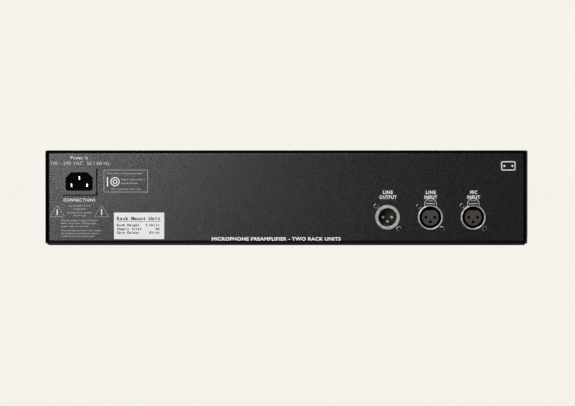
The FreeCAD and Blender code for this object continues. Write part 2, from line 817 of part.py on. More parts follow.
def make_tray():
    tray = new_body("tray_sheet")
    wall_end = dim.case_depth - dim.tray_stop
    outline = new_sketch(tray, "tray_outline", "XZ_Plane")
    draw_rectangle(outline, (-tray_side, tray_side), (under_z, tray_top))
    pad(tray, outline, wall_end, reverse=True)

    def outer_bend(edge):
        return upright(edge) and near(edge.CenterOfMass.z, under_z)

    soften(tray, "tray_outer_bend", dim.tray_bend, outer_bend)
    inside = tray_side - dim.tray_wall
    hollow = new_sketch(tray, "tray_hollow", "XZ_Plane", -dim.tray_wall)
    draw_rectangle(hollow, (-inside, inside), (deck_z, dim.case_height))
    pocket(tray, hollow, dim.case_depth)

    def inner_bend(edge):
        return upright(edge) and near(edge.CenterOfMass.z, deck_z)

    soften(tray, "tray_inner_bend", dim.tray_bend - dim.tray_wall, inner_bend)
    flat = tray_side - dim.tray_bend
    tongue = new_sketch(tray, "tray_tongue", "XZ_Plane", -wall_end)
    draw_rectangle(tongue, (-flat, flat), (under_z, deck_z))
    pad(tray, tongue, dim.tray_stop, reverse=True)
    hem = new_sketch(tray, "tray_hem", "XZ_Plane", -dim.case_depth)
    draw_rectangle(hem, (-flat, flat), (deck_z, deck_z + dim.hem_thick))
    pad(tray, hem, dim.rear_flange)
    openings = new_sketch(tray, "tray_openings", "XZ_Plane")
    draw_front_openings(openings)
    pocket(tray, openings, dim.tray_wall)
    holes = []
    for set_name in SCREW_SETS:
        holes += screw_holes("tray", set_name)
    return cut("bottom_tray", tray, *holes)


def make_cover():
    cover = new_body("cover_sheet")
    half = dim.case_width / 2
    outline = new_sketch(cover, "cover_outline", "XZ_Plane", -dim.sheet_play)
    draw_rectangle(outline, (-half, half), (under_z + dim.cover_lift, dim.case_height / 2))
    pad(cover, outline, dim.case_depth - dim.sheet_play, reverse=True)

    def outer_bend(edge):
        return upright(edge) and near(edge.CenterOfMass.z, dim.case_height / 2)

    soften(cover, "cover_outer_bend", dim.cover_bend, outer_bend)
    hollow = new_sketch(cover, "cover_hollow", "XZ_Plane")
    inside = half - dim.cover_wall
    draw_rectangle(hollow, (-inside, inside), (-dim.case_height, lid_z))
    pocket(cover, hollow, dim.case_depth * 2)

    def inner_bend(edge):
        return upright(edge) and near(edge.CenterOfMass.z, lid_z)

    soften(cover, "cover_inner_bend", dim.cover_bend - dim.cover_wall, inner_bend)
    return cut("top_cover", cover, *screw_holes("cover", "cover_screws"), *vent_cutters())


def vent_cutters():
    """Two fields of slots in the cover's top, with round ends."""
    cutters = []
    depth = dim.cover_wall * 3
    low_z = lid_z - dim.cover_wall
    for side in (-1, 1):
        for step in range(VENT_COUNT):
            x = dim.vent_field / 2 * side + dim.vent_pitch * (step - (VENT_COUNT - 1) / 2)
            for vent_row in range(VENT_ROWS):
                y = dim.case_depth - dim.vent_from_rear + dim.vent_row_gap * vent_row
                label = f"vent_{side + 1}_{step}_{vent_row}"
                radius = dim.vent_width / 2
                reach = dim.vent_length / 2 - radius
                span, run = (x - radius, x + radius), (y - reach, y + reach)
                slot = box(label, span, run, (low_z, low_z + depth))
                cutters.append(slot)
                for end in (-1, 1):
                    at = (x, y + reach * end, low_z)
                    cutters.append(cylinder(f"{label}_{end + 1}", at, radius, depth, "z"))
    return cutters


def make_rear_panel():
    pan = new_body("rear_pan")
    flange_end = face_y - dim.rear_flange
    outline = new_sketch(pan, "rear_outline", "XZ_Plane", -flange_end)
    draw_rectangle(outline, (-rear_side, rear_side), (rear_bottom, rear_top))
    pad(pan, outline, dim.rear_flange, reverse=True)

    def at_face(edge):
        return near(edge.BoundBox.YMin, face_y) and near(edge.BoundBox.YMax, face_y)

    soften(pan, "rear_bend_edges", dim.rear_bend, at_face)
    hollow = new_sketch(pan, "rear_hollow", "XZ_Plane", -(face_y - dim.rear_wall))
    inside = rear_side - dim.rear_wall
    draw_rectangle(
        hollow, (-inside, inside), (rear_bottom + dim.rear_wall, rear_top - dim.rear_wall)
    )
    pocket(pan, hollow, dim.rear_flange, reverse=True)
    corners = new_sketch(pan, "rear_reliefs", "XZ_Plane", -(face_y - dim.rear_bend))
    for x in ((-rear_side, -rear_side + dim.relief), (rear_side - dim.relief, rear_side)):
        for z in ((rear_bottom, rear_bottom + dim.relief), (rear_top - dim.relief, rear_top)):
            draw_rectangle(corners, x, z)
    pocket(pan, corners, dim.rear_flange, reverse=True)
    depth = (face_y - dim.rear_wall * 2, face_y + dim.rear_wall)
    through = dim.rear_wall * 3
    play = dim.cutout_play
    tools = screw_holes("rear", "rear_panel_screws")
    tools.append(
        centred_box(
            "inlet_cutout",
            (inlet_x, dim.inlet_z),
            depth,
            inlet_tub_width + play * 2,
            inlet_tub_height + play * 2,
        )
    )
    for name, x in SOCKET_X.items():
        at = (x, depth[0], dim.socket_z)
        tools.append(cylinder(name + "_cutout", at, dim.ring_radius + play, through))
        for n, (screw_x, screw_z) in enumerate(socket_screw_places(x)):
            radius = dim.small_screw_radius + dim.thread_play
            at = (screw_x, depth[0], screw_z)
            tools.append(cylinder(f"{name}_screw_cutout_{n}", at, radius, through))
    for name in FEMALE_SOCKETS:
        at = (SOCKET_X[name], depth[0], dim.socket_z + hood_centre)
        tools.append(cylinder(name + "_hood_cutout", at, dim.hood_radius + play, through))
    return cut("rear_panel", pan, *tools)


def make_gasket():
    """A foam strip on the rear panel's top flange, under the cover."""
    back = face_y - dim.rear_bend - dim.tray_stop
    ends = rear_side - dim.relief
    return box(
        "cover_gasket",
        (-ends, ends),
        (face_y - dim.rear_flange, back),
        (rear_top, lid_z),
    )


inlet_tub_width = dim.cavity_width + dim.inlet_wall * 2
inlet_tub_height = dim.cavity_height + dim.inlet_wall * 2


def socket_screw_places(x):
    """Two opposite corners of a socket's flange."""
    for side in (1, -1):
        yield x + flange_screw * side, dim.socket_z + flange_screw * side


nodes["front_panel"] = make_front_panel()
nodes["bottom_tray"] = make_tray()
nodes["top_cover"] = make_cover()
nodes["rear_panel"] = make_rear_panel()
nodes["cover_gasket"] = make_gasket()


# ----------------------------------------------------------------------------
# Mains inlet
# ----------------------------------------------------------------------------

BLADE_PLACES = (
    (inlet_x - dim.blade_spacing / 2, dim.inlet_z - dim.live_drop),
    (inlet_x, dim.inlet_z + dim.earth_rise),
    (inlet_x + dim.blade_spacing / 2, dim.inlet_z - dim.live_drop),
)
inlet_face = face_y + dim.bezel_thick
cavity_end = inlet_face - dim.cavity_depth
tub_end = cavity_end - dim.inlet_base


def make_inlet_body():
    moulding = new_body("inlet_moulding")
    x, z = inlet_x, dim.inlet_z
    bezel = new_sketch(moulding, "inlet_bezel", "XZ_Plane", -face_y)
    half_width, half_height = dim.bezel_width / 2, dim.bezel_height / 2
    draw_rectangle(bezel, (x - half_width, x + half_width), (z - half_height, z + half_height))
    pad(moulding, bezel, dim.bezel_thick, reverse=True)
    soften(moulding, "inlet_corners", dim.bezel_corner, upright)
    tub = new_sketch(moulding, "inlet_tub", "XZ_Plane", -face_y)
    half_width, half_height = inlet_tub_width / 2, inlet_tub_height / 2
    draw_rectangle(tub, (x - half_width, x + half_width), (z - half_height, z + half_height))
    pad(moulding, tub, face_y - tub_end)
    cavity = new_sketch(moulding, "inlet_cavity", "XZ_Plane", -inlet_face)
    right, top = dim.cavity_width / 2, dim.cavity_height / 2
    shoulder, heel = dim.cavity_shoulder, dim.cavity_heel
    corners = [
        (x - right + heel, z - top),
        (x + right - heel, z - top),
        (x + right, z - top + heel),
        (x + right, z + top - shoulder),
        (x + right - shoulder, z + top),
        (x - right + shoulder, z + top),
        (x - right, z + top - shoulder),
        (x - right, z - top + heel),
    ]
    draw_polygon(cavity, corners)
    pocket(moulding, cavity, dim.cavity_depth, reverse=True)
    slots = []
    for n, centre in enumerate(BLADE_PLACES):
        width = dim.blade_width + dim.seat_play * 2
        height = dim.blade_height + dim.seat_play * 2
        depth = (tub_end - dim.inlet_base, cavity_end + dim.inlet_base)
        slots.append(centred_box(f"blade_slot_{n}", centre, depth, width, height))
    return cut("power_inlet_body", moulding, *slots)


def make_blades():
    blades = []
    for n, (x, z) in enumerate(BLADE_PLACES):
        blade = new_body(f"inlet_blade_{n}")
        outline = new_sketch(blade, f"blade_outline_{n}", "XZ_Plane", -(tub_end - dim.blade_tail))
        half_width, half_height = dim.blade_width / 2, dim.blade_height / 2
        span, rise = (x - half_width, x + half_width), (z - half_height, z + half_height)
        draw_rectangle(outline, span, rise)
        tip = inlet_face - dim.blade_recess
        pad(blade, outline, tip - tub_end + dim.blade_tail, reverse=True)

        def at_tip(edge, tip=tip):
            return near(edge.BoundBox.YMin, tip) and near(edge.BoundBox.YMax, tip)

        soften(blade, f"blade_tip_{n}", dim.blade_width / 4, at_tip, "PartDesign::Chamfer")
        blades.append(blade)
    return group("power_inlet_blades", blades)


nodes["power_inlet_body"] = make_inlet_body()
nodes["power_inlet_blades"] = make_blades()
nodes["identity_label"] = centred_box(
    "identity_label",
    (label_x, dim.label_z),
    (face_y, face_y + dim.label_thick),
    dim.label_width,
    dim.label_height,
)


# ----------------------------------------------------------------------------
# Three-pin audio sockets
# ----------------------------------------------------------------------------


def make_shell(name, bore, hooded):
    """A die-cast shell: a tube through the panel, with a flange behind it."""
    x, z = SOCKET_X[name], dim.socket_z
    length = dim.shell_depth + dim.ring_proud
    edge = dim.ring_edge
    profile = [
        (bore, 0),
        (dim.ring_radius, 0),
        (dim.ring_radius, length - edge),
        (dim.ring_radius - edge, length),
        (bore + edge, length),
        (bore, length - edge),
    ]
    tube = turned(name + "_tube", profile, (x, shell_back, z))
    flange_y = face_y - dim.rear_wall
    flange = centred_box(
        name + "_flange",
        (x, z + dim.flange_rise),
        (flange_y - dim.flange_thick, flange_y),
        flange_width,
        flange_width + dim.flange_extra,
    )
    clear = cylinder(name + "_flange_bore", (x, shell_back, z), bore, dim.shell_depth)
    holes = [clear]
    for n, (screw_x, screw_z) in enumerate(socket_screw_places(x)):
        radius = dim.small_screw_radius + dim.thread_play
        at = (screw_x, shell_back, screw_z)
        holes.append(cylinder(f"{name}_flange_hole_{n}", at, radius, dim.shell_depth))
    pieces = [tube, cut(name + "_plate", flange, *holes)]
    if not hooded:
        key = box(
            name + "_key",
            (x - dim.key_width / 2, x + dim.key_width / 2),
            (shell_back + dim.insert_base * 2, face_y - dim.ring_edge),
            (z - dim.male_bore - dim.ring_edge, z - dim.male_bore + dim.key_height),
        )
        return fuse(name + "_shell", *pieces, key)
    hood_z = z + hood_centre
    hood_start = face_y - dim.hood_depth
    length = dim.hood_depth + dim.hood_proud
    hood = cylinder(name + "_hood", (x, hood_start, hood_z), dim.hood_radius, length)
    core = cylinder(name + "_hood_core", (x, shell_back, z), bore, dim.shell_depth * 2)
    pieces.append(cut(name + "_arch", hood, core))
    whole = fuse(name + "_casting", *pieces)
    pocket_radius = dim.hood_radius - dim.hood_wall
    at = (x, hood_start + dim.hood_floor, hood_z)
    hollow = cylinder(name + "_hollow", at, pocket_radius, dim.shell_depth)
    wall = cylinder(name + "_wall", (x, shell_back, z), dim.ring_radius, dim.shell_depth * 2)
    return cut(name + "_shell", whole, cut(name + "_latch_pocket", hollow, wall))


def make_latch(name):
    """The push tab over a female socket. It slides in the shell's hood."""
    x, z = SOCKET_X[name], dim.socket_z
    start = face_y - dim.hood_depth + dim.hood_floor + dim.latch_travel + dim.latch_play
    end = face_y + dim.latch_proud
    radius = dim.hood_radius - dim.hood_wall - dim.latch_play
    bar = cylinder(name + "_bar", (x, start, z + hood_centre), radius, end - start)
    clear = dim.ring_radius + dim.latch_play
    scoop = cylinder(name + "_scoop", (x, shell_back, z), clear, dim.shell_depth * 2)
    tools = [scoop]
    for step in (-1, 0, 1):
        middle = z + dim.ring_radius + dim.hood_radius / 2 + dim.latch_rib * 2 * step
        groove = centred_box(
            f"{name}_groove_{step + 1}",
            (x, middle),
            (end - dim.latch_rib_depth, end + dim.latch_rib_depth),
            dim.hood_radius * 2,
            dim.latch_rib,
        )
        tools.append(groove)
    return cut(name + "_latch", bar, *tools)


def pin_places(name):
    """The three pins or contacts of one socket."""
    for across, up in PIN_PLACES:
        yield SOCKET_X[name] + dim.pin_offset * across, dim.socket_z + dim.pin_offset * up


def make_male_insert(name):
    """The disc at the end of the male cup that holds the pins."""
    radius = dim.male_bore - dim.seat_play
    length = dim.shell_depth - dim.cup_depth
    disc = cylinder(name + "_disc", (SOCKET_X[name], shell_back, dim.socket_z), radius, length)
    holes = []
    for n, (x, z) in enumerate(pin_places(name)):
        bore = dim.pin_radius + dim.seat_play
        holes.append(cylinder(f"{name}_pin_hole_{n}", (x, shell_back, z), bore, length * 2))
    key = box(
        name + "_insert_key",
        (SOCKET_X[name] - dim.key_width, SOCKET_X[name] + dim.key_width),
        (shell_back, face_y),
        (dim.socket_z - dim.male_bore * 2, dim.socket_z - radius + dim.key_height * 2),
    )
    return cut(name + "_insert", disc, *holes, key)


def make_pins(name):
    tail = shell_back - dim.tail_length
    tip = face_y - dim.pin_recess
    radius = dim.pin_radius
    profile = [
        (0, 0),
        (radius, 0),
        (radius, tip - tail - radius),
        (radius * 3 / 4, tip - tail - radius / 3),
        (radius / 3, tip - tail),
        (0, tip - tail),
    ]
    pins = []
    for n, (x, z) in enumerate(pin_places(name)):
        pins.append(turned(f"{name}_pin_{n}", profile, (x, tail, z)))
    return group(name + "_pins", pins)


def make_female_insert(name):
    """The moulding that holds the contacts: a post on a base that fills the shell."""
    base = dim.female_bore - dim.seat_play
    length = dim.shell_depth + dim.insert_proud
    post = dim.insert_radius
    profile = [
        (0, 0),
        (base, 0),
        (base, dim.insert_base),
        (post, dim.insert_base),
        (post, length - dim.ring_edge),
        (post - dim.ring_edge, length),
        (0, length),
    ]
    at = (SOCKET_X[name], shell_back, dim.socket_z)
    moulding = turned(name + "_post", profile, at)
    tools = []
    for n, (x, z) in enumerate(pin_places(name)):
        sleeve = dim.contact_radius + dim.seat_play
        depth = dim.shell_depth - dim.contact_mouth
        tools.append(cylinder(f"{name}_seat_{n}", (x, shell_back, z), sleeve, depth))
        mouth = dim.contact_hole
        tools.append(cylinder(f"{name}_mouth_{n}", (x, shell_back, z), mouth, length * 2))
    tools.append(
        box(
            name + "_flat",
            (SOCKET_X[name] - post, SOCKET_X[name] + post),
            (shell_back + dim.insert_base, face_y + post),
            (dim.socket_z + dim.insert_flat, dim.socket_z + post * 2),
        )
    )
    return cut(name + "_insert", moulding, *tools)


def make_contacts(name):
    tail = shell_back - dim.tail_length
    front = face_y - dim.contact_mouth
    length = front - tail
    profile = [
        (0, 0),
        (dim.contact_radius, 0),
        (dim.contact_radius, length),
        (dim.contact_bore, length),
        (dim.contact_bore, dim.contact_blind),
        (0, dim.contact_blind),
    ]
    sleeves = []
    for n, (x, z) in enumerate(pin_places(name)):
        sleeves.append(turned(f"{name}_sleeve_{n}", profile, (x, tail, z)))
    return group(name + "_contacts", sleeves)


def make_socket_screws():
    screws = []
    for name, x in SOCKET_X.items():
        for n, (screw_x, screw_z) in enumerate(socket_screw_places(x)):
            label = f"{name}_screw_{n}"
            at = (screw_x, face_y, screw_z)
            rim = dim.small_screw_head_height / 2
            head = [
                (0, 0),
                (dim.small_screw_head, 0),
                (dim.small_screw_head, rim),
                (dim.small_screw_head - rim, rim * 2),
                (0, rim * 2),
            ]
            cap = turned(label + "_head", head, at)
            shank_length = dim.small_screw_length
            shank = cylinder(label + "_shank", at, dim.small_screw_radius, shank_length, "-y")
            blank = fuse(label + "_blank", cap, shank)
            at = (screw_x, face_y + dim.small_screw_head_height, screw_z)
            socket = hexagon(
                label + "_socket", at, dim.screw_socket, dim.screw_socket_depth, "-y"
            )
            screws.append(cut(label, blank, socket))
    return group("socket_screws", screws)


nodes["line_output_shell"] = make_shell("line_output", dim.male_bore, hooded=False)
nodes["line_output_insert"] = make_male_insert("line_output")
nodes["line_output_pins"] = make_pins("line_output")
for socket_name in FEMALE_SOCKETS:
    nodes[socket_name + "_shell"] = make_shell(socket_name, dim.female_bore, hooded=True)
    nodes[socket_name + "_latch"] = make_latch(socket_name)
nodes["female_inserts"] = group("female_inserts", map(make_female_insert, FEMALE_SOCKETS))
nodes["female_contacts"] = group("female_contacts", map(make_contacts, FEMALE_SOCKETS))
nodes["socket_screws"] = make_socket_screws()


# ----------------------------------------------------------------------------
# Knobs, shafts and rotary controls
# ----------------------------------------------------------------------------

knob_back = front_y - dim.knob_gap
nut_front = front_y - dim.nut_thick
bushing_front = nut_front - dim.bushing_past_nut
control_y = dim.tray_wall
control_back = control_y + dim.control_depth
shaft_front = knob_back - dim.bore_depth + dim.bore_relief
shaft_back = control_y + dim.shaft_engage


def make_knob(name, x, skirt):
    """A fluted grip on a round skirt, hollow behind to clear the nut."""
    z = dim.control_z
    grip = skirt - dim.grip_inset
    top, edge, crown = dim.knob_height, dim.skirt_edge, dim.grip_crown
    recess = dim.nut_thick + dim.bushing_past_nut
    bore = dim.shaft_radius + dim.seat_play
    profile = [
        (dim.nut_recess, 0),
        (skirt, 0),
        (skirt, dim.skirt_height - edge),
        (skirt - edge, dim.skirt_height),
        (grip, dim.skirt_height),
        (grip, top - crown),
        (grip - crown, top),
        (0, top),
        (0, dim.bore_depth),
        (bore, dim.bore_depth),
        (bore, recess),
        (dim.nut_recess, recess),
    ]
    blank = turned(name + "_blank", profile, (x, knob_back, z), "-y")
    cutters = []
    for step in range(FLUTE_COUNT):
        turn = Rotation(Vector(0, 1, 0), FULL_TURN * (step + 0.5) / FLUTE_COUNT)
        out = turn.multVec(Vector(0, 0, 1))
        reach = grip + dim.flute_radius / 2
        at = (x + reach * out.x, knob_back - dim.skirt_height, z + reach * out.z)
        cutters.append(cylinder(f"{name}_flute_{step}", at, dim.flute_radius, top, "-y"))
    front = knob_back - top
    half = dim.pointer_width / 2
    pointer = box(
        name + "_pointer",
        (x - half, x + half),
        (front - dim.pointer_depth, front + dim.pointer_depth),
        (z + dim.pointer_start, z + grip * 2),
    )
    return cut(name + "_knob", blank, pointer, *cutters)


def make_control(name, x, radius):
    """A pot or rotary switch: a can behind the wall with a threaded bushing in front."""
    z = dim.control_z
    can = cylinder(name + "_can", (x, control_y, z), radius, dim.control_depth)
    length = control_y - bushing_front
    bushing = cylinder(name + "_bushing", (x, bushing_front, z), dim.bushing_radius, length)
    bore_end = shaft_back + dim.shaft_end_gap
    radius = dim.shaft_radius + dim.shaft_play
    at = (x, bushing_front, z)
    bore = cylinder(name + "_bore", at, radius, bore_end - bushing_front)
    return cut(name + "_control", fuse(name + "_outside", can, bushing), bore)


def ring_nut(name, at, radius, bore, thick):
    """A hexagon nut in front of the panel, with clearance on its bushing."""
    blank = hexagon(name + "_blank", at, radius, thick)
    hole = cylinder(name + "_hole", at, bore + dim.seat_play, thick, "-y")
    return cut(name, blank, hole)


panel_nuts, rotary_controls = [], []
for name, (x, skirt, can_radius) in CONTROLS.items():
    nodes[name + "_knob"] = make_knob(name, x, skirt)
    nodes[name + "_shaft"] = cylinder(
        name + "_shaft", (x, shaft_front, dim.control_z), dim.shaft_radius, shaft_back - shaft_front
    )
    rotary_controls.append(make_control(name, x, can_radius))
    at = (x, front_y, dim.control_z)
    panel_nuts.append(
        ring_nut(name + "_nut", at, dim.nut_radius, dim.bushing_radius, dim.nut_thick)
    )
nodes["rotary_controls"] = group("rotary_controls", rotary_controls)


# ----------------------------------------------------------------------------
# Toggle switches
# ----------------------------------------------------------------------------

toggle_front = front_y - dim.toggle_nut_thick - dim.toggle_past_nut
pivot_y = toggle_front + dim.pivot_inside


def make_toggle_body(name, x, z):
    case = centred_box(
        name + "_case",
        (x, z),
        (control_y, control_y + dim.toggle_body_depth),
        dim.toggle_body_width,
        dim.toggle_body_height,
    )
    at = (x, toggle_front, z)
    tube = cylinder(name + "_tube", at, dim.toggle_bushing, control_y - toggle_front)
    depth = dim.pivot_inside + dim.lever_tail + dim.lever_neck
    bore = cylinder(name + "_tube_bore", at, dim.toggle_bore, depth)
    hollow = cut(name + "_bushing", fuse(name + "_switch", case, tube), bore)
    side = x - (dim.toggle_bore + dim.toggle_bushing) / 2
    reach = dim.toggle_bore + dim.toggle_bushing
    pin = cylinder(name + "_pivot_pin", (side, pivot_y, z), dim.pivot_pin, reach, "x")
    return fuse(name + "_toggle_body", hollow, pin)


def make_lever(name, x, z):
    """A bat-shaped lever that leans down at rest, with a bore for its pivot pin.

    It is turned from its tail to its tip.
    """
    neck, ball, tip = dim.lever_neck, dim.pivot_ball, dim.lever_tip
    waist = ball / 2
    tail, length = dim.lever_tail, dim.lever_length
    profile = [
        (0, -tail),
        (neck, -tail),
        (neck, -ball),
        (ball, -waist),
        (ball, waist),
        (neck, ball),
        (neck, dim.lever_shoulder),
        (tip, length - tip),
        (tip, length - tip / 2),
        (tip / 2, length),
        (0, length),
    ]
    bat = turned(name + "_bat", profile, (x, pivot_y, z), "-y")
    lean = Rotation(Vector(1, 0, 0), dim.lever_swing.value)
    bat.Placement.Rotation = lean.multiply(bat.Placement.Rotation)
    bore = dim.pivot_pin + dim.pivot_play
    at = (x - dim.toggle_bore, pivot_y, z)
    return cut(name + "_lever", bat, cylinder(name + "_bat_bore", at, bore, dim.toggle_bore * 2, "x"))


toggle_bodies = []
for name, (x, z) in TOGGLES.items():
    nodes[name + "_lever"] = make_lever(name, x, z)
    toggle_bodies.append(make_toggle_body(name, x, z))
    at = (x, front_y, z)
    panel_nuts.append(
        ring_nut(
            name + "_toggle_nut", at, dim.toggle_nut, dim.toggle_bushing, dim.toggle_nut_thick
        )
    )
nodes["toggle_bodies"] = group("toggle_bodies", toggle_bodies)


# ----------------------------------------------------------------------------
# Instrument jack and pilot lamp
# ----------------------------------------------------------------------------


def make_jack():
    x, z = dim.jack_x, dim.jack_z
    end = control_y + dim.jack_depth
    case = centred_box("jack_case", (x, z), (control_y, end), dim.jack_width, dim.jack_height)
    front = nut_front - dim.jack_past_nut
    tube = cylinder("jack_tube", (x, front, z), dim.bushing_radius, control_y - front)
    bore = cylinder("jack_bore", (x, front, z), dim.jack_bore, end - dim.jack_end - front)
    return cut("instrument_jack", fuse("jack_outside", case, tube), bore)


def make_lamp():
    x, z = dim.power_x, dim.lamp_z
    front = front_y - dim.lamp_rim_thick
    rim = [
        (dim.lamp_bore, 0),
        (dim.lamp_tube, 0),
        (dim.lamp_tube, dim.lamp_depth),
        (dim.lamp_rim, dim.lamp_depth),
        (dim.lamp_rim, dim.lamp_depth + dim.lamp_rim_thick / 2),
        (dim.lamp_rim - dim.lamp_rim_thick / 2, dim.lamp_depth + dim.lamp_rim_thick),
        (dim.lamp_bore, dim.lamp_depth + dim.lamp_rim_thick),
    ]
    at = (x, front_y + dim.lamp_depth, z)
    nodes["pilot_lamp_bezel"] = turned("pilot_lamp_bezel", rim, at, "-y")
    radius = dim.lamp_bore - dim.seat_play
    length = front_y + dim.lamp_depth - front + dim.lens_proud
    shoulder = length - radius / 2
    dome = [
        (0, 0),
        (radius, 0),
        (radius, shoulder - radius / 4),
        (radius * 3 / 4, shoulder + radius / 4),
        (radius / 3, length),
        (0, length),
    ]
    nodes["pilot_lamp_lens"] = turned("pilot_lamp_lens", dome, at, "-y")


nodes["instrument_jack"] = make_jack()
jack_at = (dim.jack_x, front_y, dim.jack_z)
panel_nuts.append(
    ring_nut("jack_nut", jack_at, dim.nut_radius, dim.bushing_radius, dim.nut_thick)
)
nodes["panel_nuts"] = group("panel_nuts", panel_nuts)
make_lamp()


# ----------------------------------------------------------------------------
# Level meter
# ----------------------------------------------------------------------------

meter_centre = (dim.meter_x, dim.meter_z)
needle_back = dim.dial_y - dim.needle_gap
magnet_front = dim.dial_y + dim.dial_thick + dim.magnet_gap
pivot_z = dim.meter_z - dim.pivot_drop
meter_inside_width = dim.meter_width - dim.meter_wall * 2
meter_inside_height = dim.meter_height - dim.meter_wall * 2


def make_meter_case():
    outside = centred_box(
        "meter_outside", meter_centre, (front_y, dim.meter_depth), dim.meter_width, dim.meter_height
    )
    inside = centred_box(
        "meter_inside",
        meter_centre,
        (front_y * 2, dim.meter_depth - dim.meter_wall),
        meter_inside_width,
        meter_inside_height,
    )
    return cut("meter_case", outside, inside)


def make_meter_bezel():
    frame = new_body("meter_frame")
    x, z = meter_centre
    outline = new_sketch(frame, "frame_outline", "XZ_Plane", -front_y)
    half_width, half_height = dim.frame_width / 2, dim.frame_height / 2
    span, rise = (x - half_width, x + half_width), (z - half_height, z + half_height)
    draw_rectangle(outline, span, rise)
    sight = dim.sight_width / 2
    draw_rectangle(outline, (x - sight, x + sight), (z + dim.sight_bottom, z + dim.sight_top))
    pad(frame, outline, dim.frame_thick)

    def at_corner(edge):
        return upright(edge) and near(abs(edge.CenterOfMass.x - x.value), half_width)

    soften(frame, "frame_corners", dim.frame_corner, at_corner)

    def in_front(edge):
        front = front_y - dim.frame_thick
        return near(edge.BoundBox.YMin, front) and near(edge.BoundBox.YMax, front)

    soften(frame, "frame_bevel", dim.frame_corner / 2, in_front, "PartDesign::Chamfer")
    seat = centred_box(
        "window_seat",
        meter_centre,
        (front_y - dim.glass_thick - dim.seat_play, front_y + dim.glass_thick),
        dim.meter_width - (dim.glass_margin - dim.seat_play) * 2,
        dim.meter_height - (dim.glass_margin - dim.seat_play) * 2,
    )
    return cut("meter_bezel", frame, seat)


def make_needle():
    """A straight pointer on a hub and staff, leaning to the left stop at rest."""
    lean = Rotation(Vector(0, 1, 0), -dim.needle_swing.value)
    x = dim.meter_x
    front = needle_back - dim.needle_thick
    half = dim.needle_width / 2
    span = (x - half, x + half)
    blade = box("needle_blade", span, (front, needle_back), (pivot_z, pivot_z + dim.needle_length))
    tail_z = (pivot_z - dim.needle_tail, pivot_z)
    tail = box("needle_tail", (x - half * 2, x + half * 2), (front, needle_back), tail_z)
    hub_front = front - dim.needle_thick
    at = (x, hub_front, pivot_z)
    hub = cylinder("needle_hub_disc", at, dim.needle_hub, needle_back - hub_front)
    staff = cylinder("needle_staff_rod", at, dim.needle_staff, dim.staff_length)
    needle = fuse("meter_needle", blade, tail, hub, staff)
    about = Vector(x.value, 0, pivot_z.value)
    needle.Placement = Placement(Vector(), lean, about)
    return needle


nodes["meter_case"] = make_meter_case()
nodes["meter_bezel"] = make_meter_bezel()
nodes["meter_window"] = centred_box(
    "meter_window",
    meter_centre,
    (front_y - dim.glass_thick, front_y),
    dim.meter_width - dim.glass_margin * 2,
    dim.meter_height - dim.glass_margin * 2,
)
nodes["meter_dial"] = cut(
    "meter_dial",
    centred_box(
        "dial_plate",
        meter_centre,
        (dim.dial_y, dim.dial_y + dim.dial_thick),
        meter_inside_width - dim.dial_play * 2,
        meter_inside_height - dim.dial_play * 2,
    ),
    cylinder("dial_opening", (dim.meter_x, 0, pivot_z), dim.dial_hole, magnet_front),
)
nodes["meter_needle"] = make_needle()
magnet_z = dim.meter_z - dim.meter_height / 2 + dim.meter_wall + dim.magnet_height / 2
nodes["meter_movement"] = cut(
    "meter_movement",
    centred_box(
        "magnet_block",
        (dim.meter_x, magnet_z),
        (magnet_front, magnet_front + dim.magnet_depth),
        dim.magnet_width,
        dim.magnet_height,
    ),
    cylinder(
        "staff_bearing",
        (dim.meter_x, 0, pivot_z),
        dim.needle_staff + dim.shaft_play,
        magnet_front + dim.magnet_depth / 2,
    ),
)


# ----------------------------------------------------------------------------
# Boards
# ----------------------------------------------------------------------------

MAIN_BOARD = (main_board_left, main_board_right, main_front, main_rear)
SUPPLY_BOARD = (supply_left, supply_right, supply_front, supply_rear)


def board_corners(outline):
    """The fixing points of a board, in from its corners."""
    left, right, front, rear = outline
    inset = dim.board_hole_in
    for x in (left + inset, right - inset):
        for y in (front + inset, rear - inset):
            yield x, y


def main_board_fixings():
    yield from board_corners(MAIN_BOARD)
    left, right, front, rear = MAIN_BOARD
    for y in (front + dim.board_hole_in, rear - dim.board_hole_in):
        yield (left + right) / 2, y


def make_board(name, outline, fixings):
    left, right, front, rear = outline
    plate = box(name + "_laminate", (left, right), (front, rear), (board_z, board_top))
    holes = []
    for n, (x, y) in enumerate(fixings):
        radius = dim.screw_radius + dim.thread_play
        at = (x, y, board_z - dim.board_thick)
        holes.append(cylinder(f"{name}_hole_{n}", at, radius, dim.board_thick * 3, "z"))
    return cut(name, plate, *holes)


fixing_points = [*main_board_fixings(), *board_corners(SUPPLY_BOARD)]
standoffs, board_screws = [], []
for n, (x, y) in enumerate(fixing_points):
    post = cylinder(f"post_{n}", (x, y, deck_z), dim.standoff_radius, dim.standoff_height, "z")
    radius = dim.screw_radius + dim.thread_play
    bore = cylinder(f"post_bore_{n}", (x, y, board_z), radius, dim.board_screw_length, "-z")
    standoffs.append(cut(f"standoff_{n}", post, bore))
    head = dim.board_screw_head_height
    cap = cylinder(f"board_screw_cap_{n}", (x, y, board_top), dim.board_screw_head, head, "z")
    length = dim.board_screw_length
    shank = cylinder(f"board_screw_rod_{n}", (x, y, board_top), dim.screw_radius, length, "-z")
    blank = fuse(f"board_screw_blank_{n}", cap, shank)
    at = (x, y, board_top + head)
    socket = hexagon(
        f"board_screw_socket_{n}", at, dim.screw_socket, dim.screw_socket_depth, "-z"
    )
    board_screws.append(cut(f"board_screw_{n}", blank, socket))
nodes["main_board"] = make_board("main_board", MAIN_BOARD, main_board_fixings())
nodes["power_supply_board"] = make_board(
    "power_supply_board", SUPPLY_BOARD, board_corners(SUPPLY_BOARD)
)
nodes["board_standoffs"] = group("board_standoffs", standoffs)
nodes["board_screws"] = group("board_screws", board_screws)
nodes["control_board"] = box(
    "control_board",
    (dim.control_board_left, dim.control_board_right),
    (control_back, control_back + dim.board_thick),
    (
        dim.control_z - dim.control_board_height / 2,
        dim.control_z + dim.control_board_height / 2,
    ),
)


